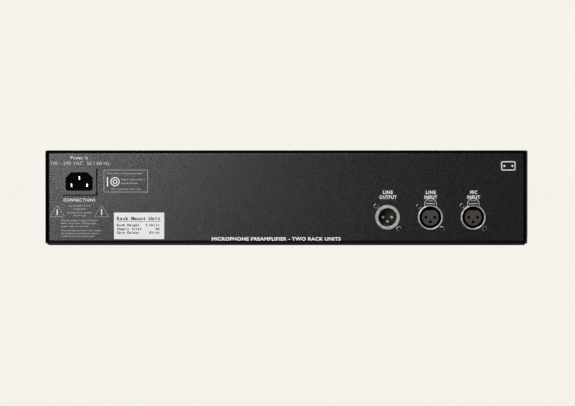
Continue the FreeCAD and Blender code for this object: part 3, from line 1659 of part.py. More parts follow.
# ----------------------------------------------------------------------------
# Parts on the boards
# ----------------------------------------------------------------------------


def make_valve(name, x, y):
    """A glass envelope with a short tip, hollow, standing in its socket."""
    base = board_top + dim.valve_socket_height
    radius, height, wall = dim.valve_radius, dim.valve_height, dim.valve_wall
    tip = wall * 2
    profile = [
        (0, 0),
        (radius, 0),
        (radius, height - radius / 2),
        (radius * 3 / 4, height - wall),
        (tip, height),
        (wall, height + dim.valve_tip),
        (0, height + dim.valve_tip),
        (0, height - wall * 2),
        (radius * 3 / 4 - wall, height - wall * 2),
        (radius - wall, height - radius / 2 - wall),
        (radius - wall, wall * 2),
        (0, wall * 2),
    ]
    return turned(name, profile, (x, y, base), "z")


valves, valve_sockets = [], []
for step in range(VALVE_COUNT):
    x = main_board_left + dim.valve_in + dim.valve_pitch * step
    valves.append(make_valve(f"valve_{step}", x, main_rear - dim.valve_from_back))
    at = (x, main_rear - dim.valve_from_back, board_top)
    height = dim.valve_socket_height
    valve_sockets.append(
        cylinder(f"valve_socket_{step}", at, dim.valve_socket_radius, height, "z")
    )
nodes["valves"] = group("valves", valves)
nodes["valve_sockets"] = group("valve_sockets", valve_sockets)


def wound_transformer(name, place_at, core, coil):
    """An upright stack of laminations with a coil that stands out front and back."""
    x, y = place_at
    width, depth, height = core
    bottom = box(
        name + "_core", (x - width / 2, x + width / 2), (y - depth / 2, y + depth / 2),
        (board_top, board_top + height),
    )
    coil_width, coil_depth, coil_height = coil
    middle = board_top + height / 2
    winding = box(
        name + "_coil",
        (x - coil_width / 2, x + coil_width / 2),
        (y - coil_depth / 2, y + coil_depth / 2),
        (middle - coil_height / 2, middle + coil_height / 2),
    )
    rounded = doc.addObject("Part::Fillet", name + "_winding")
    doc.recompute()
    rounded.Base = winding
    radius = dim.coil_round.value
    edges = enumerate(winding.Shape.Edges, start=1)
    rounded.Edges = [(n, radius, radius) for n, e in edges if runs_along(e, Vector(0, 0, 1))]
    return fuse(name, bottom, rounded)


nodes["output_transformer"] = wound_transformer(
    "output_transformer",
    (main_board_left + dim.core_in, main_rear - dim.core_from_back),
    (dim.core_width, dim.core_depth, dim.core_height),
    (dim.coil_width, dim.coil_depth, dim.coil_height),
)
nodes["supply_transformer"] = wound_transformer(
    "supply_transformer",
    (supply_left + dim.ferrite_in, supply_rear - dim.ferrite_from_back),
    (dim.ferrite_width, dim.ferrite_depth, dim.ferrite_height),
    (dim.bobbin_width, dim.bobbin_depth, dim.bobbin_height),
)
nodes["input_transformer"] = turned(
    "input_transformer",
    [
        (0, 0),
        (dim.input_can_radius, 0),
        (dim.input_can_radius, dim.input_can_height - dim.can_edge),
        (dim.input_can_radius - dim.can_edge, dim.input_can_height),
        (0, dim.input_can_height),
    ],
    (main_board_left + dim.input_can_in, main_rear - dim.input_can_from_back, board_top),
    "z",
)
capacitors = []
for step in range(CAN_CAP_COUNT):
    x = supply_left + dim.can_cap_in + dim.can_cap_pitch * step
    at = (x, supply_rear - dim.can_cap_from_back, board_top)
    height = dim.can_cap_height
    capacitors.append(
        cylinder(f"filter_capacitor_{step}", at, dim.can_cap_radius, height, "z")
    )

for column in range(FILM_CAP_COLUMNS):
    for step in range(FILM_CAP_ROWS):
        x = main_board_left + dim.film_cap_in + dim.film_cap_step * column
        y = main_rear - dim.film_cap_from_back + dim.film_cap_pitch * step
        half_width, half_depth = dim.film_cap_width / 2, dim.film_cap_depth / 2
        capacitors.append(
            box(
                f"film_capacitor_{column}_{step}",
                (x - half_width, x + half_width),
                (y - half_depth, y + half_depth),
                (board_top, board_top + dim.film_cap_height),
            )
        )
nodes["capacitors"] = group("capacitors", capacitors)

terminal_rear = supply_rear - dim.board_hole_in * 2
terminal_y = terminal_rear - dim.terminal_depth / 2
mains_terminal = box(
    "mains_terminal",
    (inlet_x - dim.terminal_width / 2, inlet_x + dim.terminal_width / 2),
    (terminal_rear - dim.terminal_depth, terminal_rear),
    (board_top, board_top + dim.terminal_height),
)


# ----------------------------------------------------------------------------
# Leads
# ----------------------------------------------------------------------------


def make_lead(name, start, corner, end, radius, bend):
    """A wire of two straight runs joined by an arc, swept along its centre line."""
    start, corner, end = (Vector(*(size_of(v).value for v in p)) for p in (start, corner, end))
    inward = (start - corner).normalize()
    onward = (end - corner).normalize()
    bend_start = corner + inward * bend.value
    bend_end = corner + onward * bend.value
    centre = bend_start + onward * bend.value
    middle = centre + (corner - centre).normalize() * bend.value
    path = Part.Wire(
        [
            Part.LineSegment(start, bend_start).toShape(),
            Part.Arc(bend_start, middle, bend_end).toShape(),
            Part.LineSegment(bend_end, end).toShape(),
        ]
    )
    ring = Part.Wire(Part.makeCircle(radius.value, start, inward))
    lead = doc.addObject("Part::Feature", name)
    lead.Shape = path.makePipeShell([ring], True, False)
    return lead


mains_leads = []
for n, (x, z) in enumerate(BLADE_PLACES):
    start = (x, tub_end - dim.blade_tail, z)
    corner = (x, terminal_y, z)
    end = (x, terminal_y, board_top + dim.terminal_height)
    mains_leads.append(
        make_lead(f"mains_lead_{n}", start, corner, end, dim.lead_radius, dim.mains_bend)
    )
nodes["mains_leads"] = group("mains_leads", mains_leads)

audio_leads = []
for name in SOCKET_X:
    for n, (x, z) in enumerate(pin_places(name)):
        y = main_rear - dim.audio_landing
        lead_start = (x, shell_back - dim.tail_length, z)
        lead = make_lead(
            f"{name}_lead_{n}",
            lead_start,
            (x, y, z),
            (x, y, board_top),
            dim.audio_lead_radius,
            dim.audio_bend,
        )
        audio_leads.append(lead)
nodes["audio_leads"] = group("audio_leads", audio_leads)


def make_ribbon():
    """A flat cable from the control board down to the main board."""
    strip = new_body("ribbon_strip")
    left = dim.ribbon_x - dim.ribbon_width / 2
    run = new_sketch(strip, "ribbon_run", "YZ_Plane", left)
    top = dim.control_z - dim.ribbon_drop
    thick = dim.ribbon_thick
    start = control_back + dim.board_thick + dim.header_depth
    far = main_front + dim.header_depth
    foot = board_top + dim.header_height
    corners = [
        (start, top),
        (start, top - thick),
        (far - thick, top - thick),
        (far - thick, foot),
        (far, foot),
        (far, top),
    ]
    draw_polygon(run, corners)
    pad(strip, run, dim.ribbon_width)

    def across(edge):
        return runs_along(edge, Vector(1, 0, 0))

    def outer(edge):
        middle = edge.CenterOfMass
        return across(edge) and near(middle.y, far) and near(middle.z, top)

    def inner(edge):
        middle = edge.CenterOfMass
        return across(edge) and near(middle.y, far - thick) and near(middle.z, top - thick)

    soften(strip, "ribbon_inner_bend", dim.ribbon_bend - thick, inner)
    soften(strip, "ribbon_outer_bend", dim.ribbon_bend, outer)
    return strip


def make_headers():
    left = dim.ribbon_x - dim.ribbon_width / 2
    span = (left, left + dim.ribbon_width)
    back = control_back + dim.board_thick
    top = dim.control_z - dim.ribbon_drop - dim.ribbon_thick / 2
    half = dim.header_height / 2
    upper = box("ribbon_header_top", span, (back, back + dim.header_depth), (top - half, top + half))
    middle = main_front + dim.header_depth - dim.ribbon_thick / 2
    reach = dim.header_depth / 2
    rise = (board_top, board_top + dim.header_height)
    lower = box("ribbon_header_foot", span, (middle - reach, middle + reach), rise)
    return group("board_connectors", [mains_terminal, upper, lower])


nodes["ribbon_cable"] = make_ribbon()
nodes["board_connectors"] = make_headers()


# ----------------------------------------------------------------------------
# Check and write
# ----------------------------------------------------------------------------


def write_parts():
    doc.recompute()
    for thing in doc.Objects:
        if {"Invalid", "Error"} & set(thing.State):
            raise RuntimeError(f"{thing.Name} failed: {thing.State}")
    os.makedirs("parts", exist_ok=True)
    for name, thing in nodes.items():
        thing.Label = name
        shape = thing.Shape
        if shape.isNull() or not shape.isValid() or not shape.Solids:
            raise RuntimeError(f"{name} has no valid shape")
        shape.exportStep(f"parts/{name}.step")


write_parts()
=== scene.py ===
"""Finishes, lettering and studio for a two-unit rack microphone preamp.

Run as a script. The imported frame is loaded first, and every piece is worked out from it.
Lengths are in metres. +X is right as seen from the front, +Y runs to the rear, +Z is up.
"""

import json
import math

import bpy
from bpy.props import FloatProperty, FloatVectorProperty, PointerProperty
from mathutils import Matrix, Vector


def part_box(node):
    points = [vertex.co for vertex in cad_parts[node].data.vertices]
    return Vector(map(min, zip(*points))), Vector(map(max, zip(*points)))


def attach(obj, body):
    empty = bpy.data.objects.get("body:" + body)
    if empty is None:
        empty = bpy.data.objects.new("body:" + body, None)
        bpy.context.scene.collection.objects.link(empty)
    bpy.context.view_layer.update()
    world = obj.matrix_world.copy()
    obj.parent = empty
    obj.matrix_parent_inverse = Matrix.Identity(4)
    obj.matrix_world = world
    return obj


bl_info = {
    "name": "Microphone preamp looks",
    "version": (1, 0, 0),
    "blender": (4, 5, 0),
    "location": "View3D > Sidebar > Preamp",
    "description": "Finishes, lettering and studio for a rack microphone preamp",
    "category": "Object",
}

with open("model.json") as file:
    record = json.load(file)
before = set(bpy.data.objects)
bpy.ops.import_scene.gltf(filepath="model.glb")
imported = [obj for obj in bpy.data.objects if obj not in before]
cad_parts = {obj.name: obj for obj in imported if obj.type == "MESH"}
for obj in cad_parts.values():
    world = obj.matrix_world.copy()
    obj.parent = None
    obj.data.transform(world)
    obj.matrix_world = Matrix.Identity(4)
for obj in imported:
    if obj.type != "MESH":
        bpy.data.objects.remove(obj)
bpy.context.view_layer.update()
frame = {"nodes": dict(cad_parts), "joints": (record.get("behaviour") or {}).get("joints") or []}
MM = 0.001
CHASSIS = "chassis"
REAR, FRONT = 1, -1
CAP_HEIGHT = 0.729  # of the built-in font, at size 1
SMOOTH_ANGLE = math.radians(35)
SHARP_ANGLE = math.radians(40)
# Near-black of the painted shadow on shaded edges of the case.
PAINTED_SHADOW_BLACK = (0.0016, 0.0016, 0.0018)
SMALL_PRINT = 1.35 * MM
FLOOR_RADIUS = 9.0
FLOOR_GLOW = 0.985
PAPER_COLOUR = (0.12, 0.118, 0.114, 1)
FILL_COLOUR = (1, 0.99, 0.97, 1)
FILL_STRENGTH = 0.08
SENSOR_WIDTH = 36.0
FARTHEST = 50.0
AIM_ACROSS = -1.0 * MM


# ---- Places read from the frame ----


def middle(node):
    """The centre of a CAD node's box."""
    low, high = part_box(node)
    return (Vector(low) + Vector(high)) / 2


def lowest(node):
    return Vector(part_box(node)[0])


def highest(node):
    return Vector(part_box(node)[1])


PANEL_REAR = highest("rear_panel").y
PANEL_FRONT = lowest("front_panel").y
CASE_SIDE = highest("top_cover").x
CASE_BOTTOM = lowest("bottom_tray").z
KNOBS = {"input_select": 5, "gain": 11, "low_tone": 11, "high_tone": 11, "level": 11}
SWITCHES = ("input_select", "gain")
TOGGLES = ("phantom", "polarity", "pad", "power")
FEMALE_SOCKETS = ("line_input", "mic_input")
PIN_RADIUS = 1.2 * MM
RING_RADIUS = 11.2 * MM
CUP_DEPTH = 14.0 * MM
HOOD_RADIUS = 5.5 * MM
HOOD_RISE = 11.7 * MM
FACE_RADIUS = 7.3 * MM
LIP_RISE = 12.3 * MM
MARK_SHARE = 0.82  # how far up a tab its mark is
HOOD_BLACK = (0.012, 0.012, 0.012)
# The bright width runs in from a ring's outside; inward of it the ring is painted shadow.
MALE_RING = ((0.60, 0.60, 0.56), 3.2 * MM)  # colour, and the width that is bright
FEMALE_RING = ((1.0, 1.0, 0.97), 1.25 * MM)
INLAY_RADIUS = 3.1 * MM
SCREW_OFFSET = 10.2 * MM
SCREW_RADIUS = 2.3 * MM


def pivot_of(joint):
    """A point on a joint's axis."""
    entry = next(j for j in frame["joints"] if j["name"] == joint)
    return Vector(entry["pos_m"])


def socket_centre(name):
    """The centre of a socket, on the rear panel and level with the male socket's upper pins."""
    height = highest("line_output_pins").z - PIN_RADIUS
    return Vector((middle(name + "_shell").x, PANEL_REAR, height))


# ---- Shader arithmetic ----


class Signal:
    """A node's output. Arithmetic on it adds Math nodes."""

    def __init__(self, finish, socket):
        self.finish = finish
        self.socket = socket

    def math(self, operation, first, second):
        return self.finish.node("ShaderNodeMath", {"operation": operation}, {0: first, 1: second})


def add_operator(name, kind):
    """Gives signals an operator, for a signal on its left and on its right."""
    setattr(Signal, f"__{name}__", lambda self, other: self.math(kind, self, other))
    setattr(Signal, f"__r{name}__", lambda self, other: self.math(kind, other, self))


OPERATORS = {"add": "ADD", "sub": "SUBTRACT", "mul": "MULTIPLY", "pow": "POWER"}
for operator_name, operation in OPERATORS.items():
    add_operator(operator_name, operation)


class Finish:
    """A material under construction, with a Principled shader at its end."""

    def __init__(self, name, **constants):
        self.material = bpy.data.materials.new(name)
        self.material.use_nodes = True
        self.tree = self.material.node_tree
        self.shader = self.tree.nodes["Principled BSDF"]
        for socket, value in constants.items():
            self.set(socket.replace("_", " "), value)

    def set(self, socket, value):
        """Sets or links one of the shader's own sockets."""
        name = next(i.name for i in self.shader.inputs if i.name.lower() == socket.lower())
        if isinstance(value, Signal):
            self.tree.links.new(value.socket, self.shader.inputs[name])
            return
        if isinstance(self.shader.inputs[name].default_value, float):
            self.shader.inputs[name].default_value = value
        else:
            self.shader.inputs[name].default_value = (*value, 1)[:4]

    def node(self, kind, settings=None, inputs=None, output=0):
        """Adds any node: its type, its settings, then the values or links of its sockets."""
        node = self.tree.nodes.new(kind)
        for name, value in (settings or {}).items():
            setattr(node, name, value)
        for key, value in (inputs or {}).items():
            if isinstance(value, Signal):
                self.tree.links.new(value.socket, node.inputs[key])
            else:
                node.inputs[key].default_value = value
        return Signal(self, node.outputs[output])

    def place(self, stretch=(1, 1, 1), centre=(0, 0, 0)):
        """Object coordinates, measured from a centre and scaled along each axis."""
        here = self.node("ShaderNodeTexCoord", output="Object")
        offset = [-c * s for c, s in zip(centre, stretch)]
        inputs = {"Vector": here, "Location": offset, "Scale": stretch}
        return self.node("ShaderNodeMapping", None, inputs)

    def noise(self, scale, detail=2.0, stretch=(1, 1, 1)):
        inputs = {"Vector": self.place(stretch), "Scale": scale, "Detail": detail}
        return self.node("ShaderNodeTexNoise", None, inputs)

    def cells(self, scale):
        """Distance to the nearest point of a scatter."""
        inputs = {"Vector": self.place(), "Scale": scale}
        return self.node("ShaderNodeTexVoronoi", None, inputs)

    def axis(self, letter, centre=(0, 0, 0)):
        """One coordinate on its own."""
        vector = {"Vector": self.place(centre=centre)}
        return self.node("ShaderNodeSeparateXYZ", None, vector, output=letter)

    def radius(self, centre):
        """The distance from a line along Y through a centre."""
        x, z = self.axis("X", centre), self.axis("Z", centre)
        return (x * x + z * z) ** 0.5

    def ripple(self, signal):
        """Rises and falls between 0 and a half, once for each unit of a signal."""
        return self.node("ShaderNodeMath", {"operation": "PINGPONG"}, {0: signal, 1: 0.5})

    def surface(self, colour, roughness):
        self.set("Base Color", colour)
        self.set("Roughness", roughness)

    def fade(self, signal, low, high):
        """Stretches a range of a signal to 0 to 1, and holds it there."""
        inputs = {"Value": signal, "From Min": low, "From Max": high}
        return self.node("ShaderNodeMapRange", {"clamp": True}, inputs)

    def blend(self, amount, first, second):
        """Mixes two colours."""
        inputs = {0: amount, 6: self.colour(first), 7: self.colour(second)}
        return self.node("ShaderNodeMix", {"data_type": "RGBA"}, inputs, output=2)

    def discs(self, centres, radius, soft=0.15 * MM):
        """1 within a radius of any of the centres, seen along Y, and 0 elsewhere."""
        found = [self.fade(self.radius(at), radius + soft, radius - soft) for at in centres]
        return sum(found[1:], found[0])

    @staticmethod
    def colour(value):
        return value if isinstance(value, Signal) else (*value, 1)[:4]

    def cover_with(self, colour, amount):
        """Mixes a matt colour over the finished surface."""
        matt = self.node("ShaderNodeBsdfDiffuse", None, {"Color": (*colour, 1)})
        under = Signal(self, self.shader.outputs[0])
        mixed = self.node("ShaderNodeMixShader", None, {0: amount, 1: under, 2: matt})
        self.tree.links.new(mixed.socket, self.tree.nodes["Material Output"].inputs["Surface"])

    def bump(self, height, distance, strength=1.0):
        """Feeds a height, in metres once multiplied by distance, to the shader's normal."""
        inputs = {"Height": height, "Distance": distance, "Strength": strength}
        self.set("Normal", self.node("ShaderNodeBump", None, inputs))


# ---- Finishes ----


def looks():
    return bpy.context.scene.preamp_looks


def powder_coat(name, gloss=0.0, trimmed_at=None):
    """Satin black powder coat: a coarse orange peel, with faint dust and rubbing.

    gloss takes away from its roughness. trimmed_at is where a sheet's cut edge lies: there the
    coat gets painted shadow, with a painted highlight near -X.
    """
    finish = Finish(name, IOR=1.5)
    base = Vector(looks().coat_colour)
    grain = finish.noise(looks().grain_scale, 2.0)
    speckle = finish.fade(grain, 0.36, 0.64)
    broad = finish.noise(14.0, 4.0)
    coat = finish.blend(speckle * 0.85 + broad * 0.15, base * 0.65, base * 1.5)
    roughness = 0.30 - gloss + 0.06 * broad + 0.12 * speckle
    if trimmed_at is not None:
        y, side = finish.axis("Y"), finish.axis("X")
        edge = finish.fade(y, trimmed_at - 0.10 * MM, trimmed_at - 0.03 * MM)
        dull = finish.fade(side, -CASE_SIDE + 1.0 * MM, -CASE_SIDE + 3.0 * MM)
        # Painted light on the cut edge: a painted highlight where it nears -X, and painted shadow
        # along the rest.
        coat = finish.blend(edge * (1.0 - dull), coat, base * 4.0)
        finish.cover_with(PAINTED_SHADOW_BLACK, edge * dull)
    finish.surface(coat, roughness)
    finish.bump(grain + 0.35 * finish.noise(2600.0, 2.0), 0.00015, 0.8)
    return finish


def enamel():
    """Satin black anodise on the thick front panel, brushed along its length."""
    finish = Finish("brushed_black_anodise", Metallic=0.35, IOR=1.5)
    streaks = finish.noise(420.0, 3.0, (0.03, 1, 1))
    broad = finish.noise(9.0, 3.0)
    finish.set("Base Color", finish.blend(streaks, (0.010, 0.010, 0.011), (0.030, 0.030, 0.032)))
    finish.set("Roughness", 0.34 + 0.14 * streaks + 0.05 * broad)
    finish.bump(streaks, 0.00004, 0.5)
    return finish


def satin_metal(name, colour, roughness, grain=900.0, stretch=(1, 1, 1)):
    """Plated die casting or machined metal, with fine marks and patches of tarnish."""
    finish = Finish(name, Metallic=1.0)
    marks = finish.noise(grain, 4.0, stretch)
    tarnish = finish.fade(finish.noise(120.0, 4.0), 0.42, 0.72)
    dull = tuple(c * 0.62 for c in colour)
    finish.surface(
        finish.blend(tarnish * 0.5, colour, dull), roughness + 0.16 * marks + 0.10 * tarnish
    )
    finish.bump(marks, 0.00004, 0.5)
    return finish


def turned_metal(name, colour, centre, roughness=0.3):
    """Metal turned on a lathe about the Y axis: rings round a centre."""
    finish = Finish(name, Metallic=1.0)
    vector = finish.radius(centre)
    rings = finish.node("ShaderNodeTexNoise", None, {"Vector": vector, "Scale": 5200.0})
    finish.surface(
        finish.blend(rings * 0.5, colour, tuple(c * 0.7 for c in colour)), roughness + 0.16 * rings
    )
    finish.bump(rings, 0.00003, 0.6)
    return finish


def moulded_plastic(name, colour, roughness=0.45, grain=1500.0, depth=0.00005):
    """Moulded plastic: a spark-eroded texture, with slight flow marks."""
    finish = Finish(name, IOR=1.49)
    texture = finish.cells(grain)
    flow = finish.noise(60.0, 3.0)
    light = tuple(c * 1.45 + 0.004 for c in colour)
    finish.surface(
        finish.blend(0.3 * flow + 0.2 * texture, colour, light), roughness + 0.12 * flow
    )
    finish.bump(texture, depth, 0.5)
    return finish


def printing_ink(name, colour):
    """Screen-printed ink, slightly uneven, with pinholes."""
    finish = Finish(name, Roughness=0.55, IOR=1.45)
    cover = finish.fade(finish.noise(2400.0, 2.0), 0.28, 0.42)
    worn = finish.noise(160.0, 3.0)
    thin = tuple(c * 0.72 for c in colour)
    finish.set("Base Color", finish.blend(cover * 0.7 + worn * 0.3, thin, colour))
    finish.bump(cover, 0.00002, 0.4)
    return finish


def label_film():
    """White vinyl with a slight sheen, and a grey bloom in patches."""
    finish = Finish("label_film", Roughness=0.38, IOR=1.46, Coat_Weight=0.2, Coat_Roughness=0.25)
    fibres = finish.noise(700.0, 4.0, (1, 1, 0.3))
    bloom = finish.noise(45.0, 2.0)
    white = looks().label_colour
    finish.set("Base Color", finish.blend(0.35 * fibres + 0.3 * bloom, white, (0.62, 0.62, 0.60)))
    finish.bump(fibres, 0.00002, 0.5)
    return finish


def foam(name):
    finish = Finish(name, Roughness=0.95)
    pores = finish.cells(1300.0)
    finish.set("Base Color", finish.blend(pores, (0.004, 0.004, 0.004), (0.03, 0.03, 0.032)))
    finish.bump(pores, 0.0003, 1.0)
    return finish


# A near-black matt finish for the painted shadow strip by the mains inlet.
def rubber():
    finish = Finish("rubber", IOR=1.45)
    dust = finish.noise(500.0, 4.0)
    finish.surface(
        finish.blend(dust, (0.0012, 0.0012, 0.0012), (0.004, 0.004, 0.004)), 0.85 + 0.1 * dust
    )
    finish.cover_with((0.0016, 0.0016, 0.0016), 0.8 + 0.2 * dust)
    return finish


def solder_mask():
    """A green circuit board: tracks and pads under the mask, with white print."""
    finish = Finish("solder_mask", Roughness=0.32, IOR=1.5)
    x, y = finish.axis("X"), finish.axis("Y")
    lanes = finish.noise(110.0, stretch=(0.25, 1, 1))
    tracks = finish.ripple(lanes * 9.0 + x + y)
    copper = finish.fade(tracks, 0.28, 0.32)
    pads = 1.0 - finish.fade(finish.cells(190.0), 0.14, 0.17)
    green = finish.blend(copper, (0.010, 0.075, 0.030), (0.022, 0.150, 0.055))
    finish.set("Base Color", finish.blend(pads, green, (0.72, 0.66, 0.52)))
    finish.set("Metallic", pads * 0.9)
    finish.bump(copper + pads, 0.00004, 0.8)
    return finish


def clear_glass(name, tint=(0.96, 0.98, 0.98)):
    """Thin clear glass or acrylic, with a few wipe marks."""
    finish = Finish(name, Transmission_Weight=1.0, IOR=1.45)
    wipe = finish.noise(50.0, 4.0, (1, 1, 0.2))
    finish.set("Base Color", finish.blend(wipe * 0.1, tint, (0.8, 0.82, 0.82)))
    finish.set("Roughness", 0.02 + 0.05 * finish.fade(wipe, 0.5, 0.7))
    return finish


def lamp_lens():
    """A red jewel, lit a little from behind."""
    finish = Finish("lamp_lens", Roughness=0.12, Coat_Weight=0.6, Emission_Strength=0.6)
    depth = finish.fade(finish.cells(900.0), 0.1, 0.7)
    finish.set("Base Color", finish.blend(depth, (0.42, 0.01, 0.005), (0.8, 0.05, 0.02)))
    finish.set("Emission Color", finish.blend(depth, (0.5, 0.01, 0.0), (1.0, 0.08, 0.02)))
    finish.bump(depth, 0.0002, 0.5)
    return finish


def dial_card():
    """Cream card with painted lamplight: lighter towards the top, and a painted glow."""
    finish = Finish("dial_card", Roughness=0.6, Emission_Strength=0.35)
    centre = middle("meter_dial")
    up = finish.fade(finish.axis("Z", centre), -18 * MM, 18 * MM)
    paper = finish.noise(900.0, 3.0)
    cream = finish.blend(paper * 0.3, (0.83, 0.74, 0.52), (0.74, 0.64, 0.42))
    # Painted lamplight: lighter towards the top, with a painted glow that is warmest at the top.
    finish.set("Base Color", finish.blend(up * 0.5, cream, (0.90, 0.82, 0.60)))
    finish.set("Emission Color", finish.blend(up, (0.25, 0.17, 0.07), (0.80, 0.60, 0.30)))
    return finish


def laminations():
    """A stack of varnished steel stampings, seen on edge."""
    finish = Finish("laminations", Metallic=0.5, IOR=1.5)
    sheets = finish.ripple(finish.axis("Y") * 1400.0)
    rust = finish.noise(90.0, 4.0)
    finish.surface(
        finish.blend(rust, (0.035, 0.033, 0.034), (0.10, 0.085, 0.075)), 0.4 + 0.25 * sheets
    )
    finish.bump(sheets, 0.0002, 0.8)
    return finish


def resin():
    """Dipped resin on capacitors: glossy, uneven, amber to brown by place."""
    finish = Finish("dipped_resin", Roughness=0.22, IOR=1.52)
    patch = finish.noise(26.0, 2.0)
    which = finish.fade(patch, 0.4, 0.6)
    finish.set("Base Color", finish.blend(which, (0.42, 0.20, 0.03), (0.08, 0.10, 0.28)))
    finish.bump(finish.noise(240.0, 3.0), 0.0002, 0.5)
    return finish


def ceramic():
    finish = Finish("glazed_ceramic", Roughness=0.2, Coat_Weight=0.5)
    spots = finish.fade(finish.noise(600.0, 3.0), 0.55, 0.75)
    finish.set("Base Color", finish.blend(spots, (0.72, 0.68, 0.58), (0.45, 0.41, 0.34)))
    return finish


def insulation(name, colour):
    """Wire insulation or flat cable, ribbed along X."""
    finish = Finish(name, Roughness=0.42)
    ribs = finish.ripple(finish.axis("X") * 787.0)
    dark = tuple(c * 0.6 for c in colour)
    finish.set("Base Color", finish.blend(ribs * 0.8 + 0.2 * finish.noise(300.0), dark, colour))
    finish.bump(ribs, 0.0003, 0.7)
    return finish


def dress(node, finish):
    """Gives a CAD node a finish, in all of its slots."""
    shown = frame["nodes"][node]
    if not shown.material_slots:
        shown.data.materials.append(finish.material)
    for slot in shown.material_slots:
        slot.material = finish.material


def dress_all(finish, *nodes):
    for node in nodes:
        dress(node, finish)


# ---- Modelling steps ----


def deselect():
    if bpy.context.mode != "OBJECT":
        bpy.ops.object.mode_set(mode="OBJECT")
    bpy.ops.object.select_all(action="DESELECT")


def set_down():
    """Moves the active object's place, turn and scale into its mesh."""
    bpy.ops.object.transform_apply(location=True, rotation=True, scale=True)
    return bpy.context.object


def slab(name, low, high, bevel=0.0):
    """A box between two corners, with its edges rounded."""
    deselect()
    low, high = Vector(low), Vector(high)
    bpy.ops.mesh.primitive_cube_add(size=1, location=(low + high) / 2, scale=high - low)
    piece = set_down()
    piece.name = name
    if bevel:
        round_edges(piece, bevel)
    return piece


def rod(name, start, radius, length, vertices, bevel=0.0):
    """A cylinder that starts at a point and runs along Y."""
    deselect()
    bpy.ops.mesh.primitive_cylinder_add(
        vertices=vertices,
        radius=radius,
        depth=length,
        location=Vector(start) + Vector((0, length / 2, 0)),
        rotation=(-math.pi / 2, 0, 0),
    )
    piece = set_down()
    piece.name = name
    if bevel:
        round_edges(piece, bevel)
    bpy.ops.object.shade_smooth_by_angle(angle=SMOOTH_ANGLE)
    return piece


def round_edges(piece, width):
    bpy.context.view_layer.objects.active = piece
    modifier = piece.modifiers.new("soft_edges", "BEVEL")
    modifier.width = width
    modifier.segments = 2
    modifier.limit_method = "ANGLE"
    modifier.angle_limit = SHARP_ANGLE
    bpy.ops.object.modifier_apply(modifier=modifier.name)


def unite(name, pieces):
    """Joins pieces into one object that keeps their meshes apart."""
    deselect()
    for piece in pieces:
        piece.select_set(True)
    bpy.context.view_layer.objects.active = pieces[0]
    if len(pieces) > 1:
        bpy.ops.object.join()
    pieces[0].name = name
    return pieces[0]


def bearing(degrees):
    """A unit vector on a face, in degrees from straight up, positive to the right."""
    angle = math.radians(degrees)
    return Vector((math.sin(angle), math.cos(angle)))


def spread(sweep, count):
    """Bearings spaced evenly over a sweep each side of straight up."""
    return [bearing(-sweep + 2 * sweep * step / (count - 1)) for step in range(count)]


def finish_piece(piece, finish, body=CHASSIS):
    """Gives a new piece its finish and the body that it rides on."""
    piece.data.materials.clear()
    piece.data.materials.append(finish.material)
    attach(piece, body)
    return piece


def measured(piece):
    """The lowest and highest corner of a piece's mesh."""
    points = [vertex.co for vertex in piece.data.vertices]
    low = Vector([min(p[i] for p in points) for i in range(3)])
    high = Vector([max(p[i] for p in points) for i in range(3)])
    return low, high


